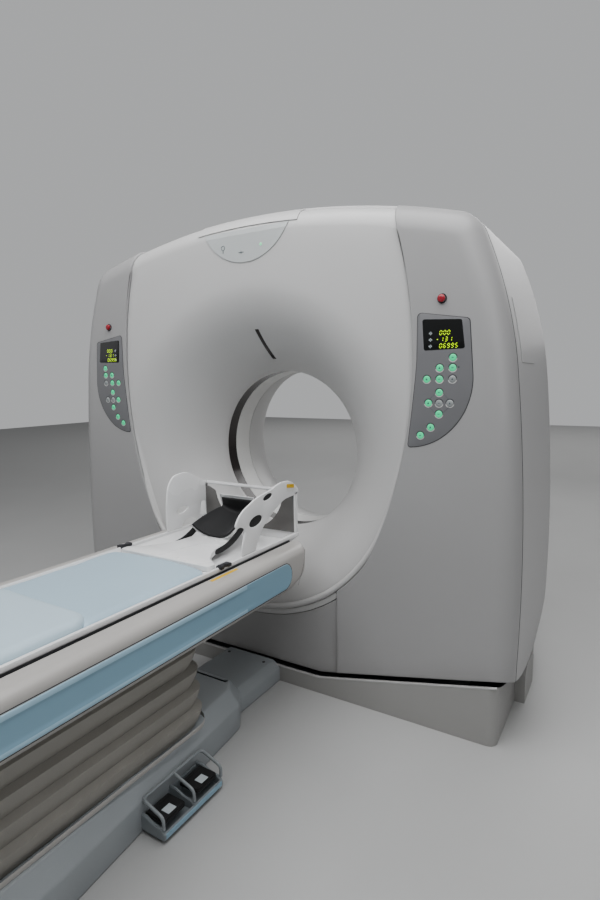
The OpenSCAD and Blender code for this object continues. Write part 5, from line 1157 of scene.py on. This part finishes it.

# The dark plate a little wider than the foil, behind it, is painted shadow round the panel's edge
foil, gapShadow = plate(foilOutline(0), [], face, -350.5, "y", 0.8), plate(foilOutline(1.9), [], -354.9, -351, "y", 0.3)
glass = plate(rounded([(748, 1466), (755, 1361), (894, 1364), (882, 1459)], 7, 6), [], face - 0.4, -352, "y", 0.35)
keyHighlights, shadows = (gather(*[keyRing(x, z, low) for x, z in keyPlaces]) for low in (True, False))
stopX, stopZ = panel["estop"]
collar = turned([(12.0, -0.6), (13.6, -3.2), (15.2, -3.2), (16.4, -1.2), (16.8, 2)], (stopX, -frontY, stopZ), "y", 40)
cap = turned([(0.1, -368.2), (5.5, -368.0), (10.2, -366.9), (12.5, -364.8), (13.0, -362.6), (12.4, -360.6),
              (8.2, -360.2), (8.0, -357), (8.0, -340)], (stopX, 0, stopZ), "y", 40)
capMark = gather(*[bar([(stopX + 6 * cos(a), -367.9, stopZ + 6 * sin(a)) for a in np.linspace(a0, a0 + 1.5, 7)], 0.5, 6)
                   for a0 in (0.2, 2.3, 4.4)])
for side in sides:
    right = side == "right"
    def put(name, part, finishes, body="gantry", **more):
        place(name.format(side), sided(part, side), finishes, body, weld=0, **more)
    put("panel_foil_{}", foil, "panel", closed=True, replaced=["control_panel_" + side], slot="control_panel")
    put("panel_groove_{}", gapShadow, "seam", closed=True)
    put("panel_glass_{}", glass, "glass", closed=True, replaced=["panel_displays"] if right else (), slot="display")
    lit, marks = panelFigures(side)
    put("panel_figures_{}", lit, "digit", closed=True)
    put("panel_marks_{}", marks, "label", closed=True)
    # Painted highlight under each key and painted shadow over it
    put("key_rims_{}", keyHighlights, "white")
    put("key_shadows_{}", shadows, "rim")
    for k, (x, z) in enumerate(keyPlaces):
        button = f"right_button_{k + 1:02d}"
        body = button if right else "gantry"
        put(f"key_{side}_{k + 1:02d}", dome(x, z), "grey" if k in greyKeys else "mint", body,
            replaced=[button] if right else (), slot="button")
        put(f"glyph_{side}_{k + 1:02d}", keySign(k, x, z), "ink", body, closed=True)
    put("panel_lines_{}", panelLines(), "ink", closed=True)
    put("stop_collar_{}", collar, "rim")
    put("stop_cap_{}", cap, "red", "estop_" + side, replaced=["estop_" + side], slot="estop")
    put("stop_mark_{}", capMark, "ink", "estop_" + side, closed=True)
print("panels done")

# Status plate on the roll: two generic icons and a lamp
def onPlate(x, z, lift=3.3):
    r = rollR - step
    q = min(0.99, max(0, (rollR - topR + sqrt(x * x + (z - arcs["topC"][1]) ** 2)) / r))
    return (x, -(frontY - rollR + r * sqrt(1 - q * q) + lift), z)
icons = [bar([onPlate(-109 + 9 * cos(a), 1809 + 9 * sin(a)) for a in np.linspace(0, 2 * pi, 25)], 1.0, 6),
         bar([onPlate(-109, 1800 - k * 3) for k in range(5)], 1.2, 6),
         bar([onPlate(-30 + k * 5, 1782) for k in range(6)], 1.2, 6),
         bar([onPlate(-17, 1776 + k * 3) for k in range(5)], 1.0, 6)]
place("status_icons", gather(*icons), "ink", "gantry", closed=True, weld=0)
place("status_lamp", turned([(0.1, -2.0), (4, -1.7), (6, -0.6), (6.6, 1)], onPlate(80, 1802, 2.6), "y", 24), "green",
      "gantry", weld=0)

# Carried-over nodes get their own finishes
keep = dict(base_frame="framePaint", base_cover="plinth", tilt_stand_left="framePaint", tilt_stand_right="framePaint",
            cable_box="plinth", lift_column_lower="steel", lift_column_middle="steel", pedal_guard="wire",
            gantry_frame="framePaint", main_bearing="bearing", drive_motor="dark", motor_pulley="steel",
            drive_belt="belt", rotor_drum="rotor", xray_tube="dark", detector_array="dark", hv_generators="hvCase",
            status_panel="status", top_hatch="cover", side_hatches="side")
for name, finishName in keep.items():
    mesh = nodes[name].data
    if not mesh.materials:
        mesh.materials.append(paint[finishName])
    for k in range(len(mesh.materials)):
        nodes[name].material_slots[k].material = paint[finishName]
print("kept nodes:", len(keep))
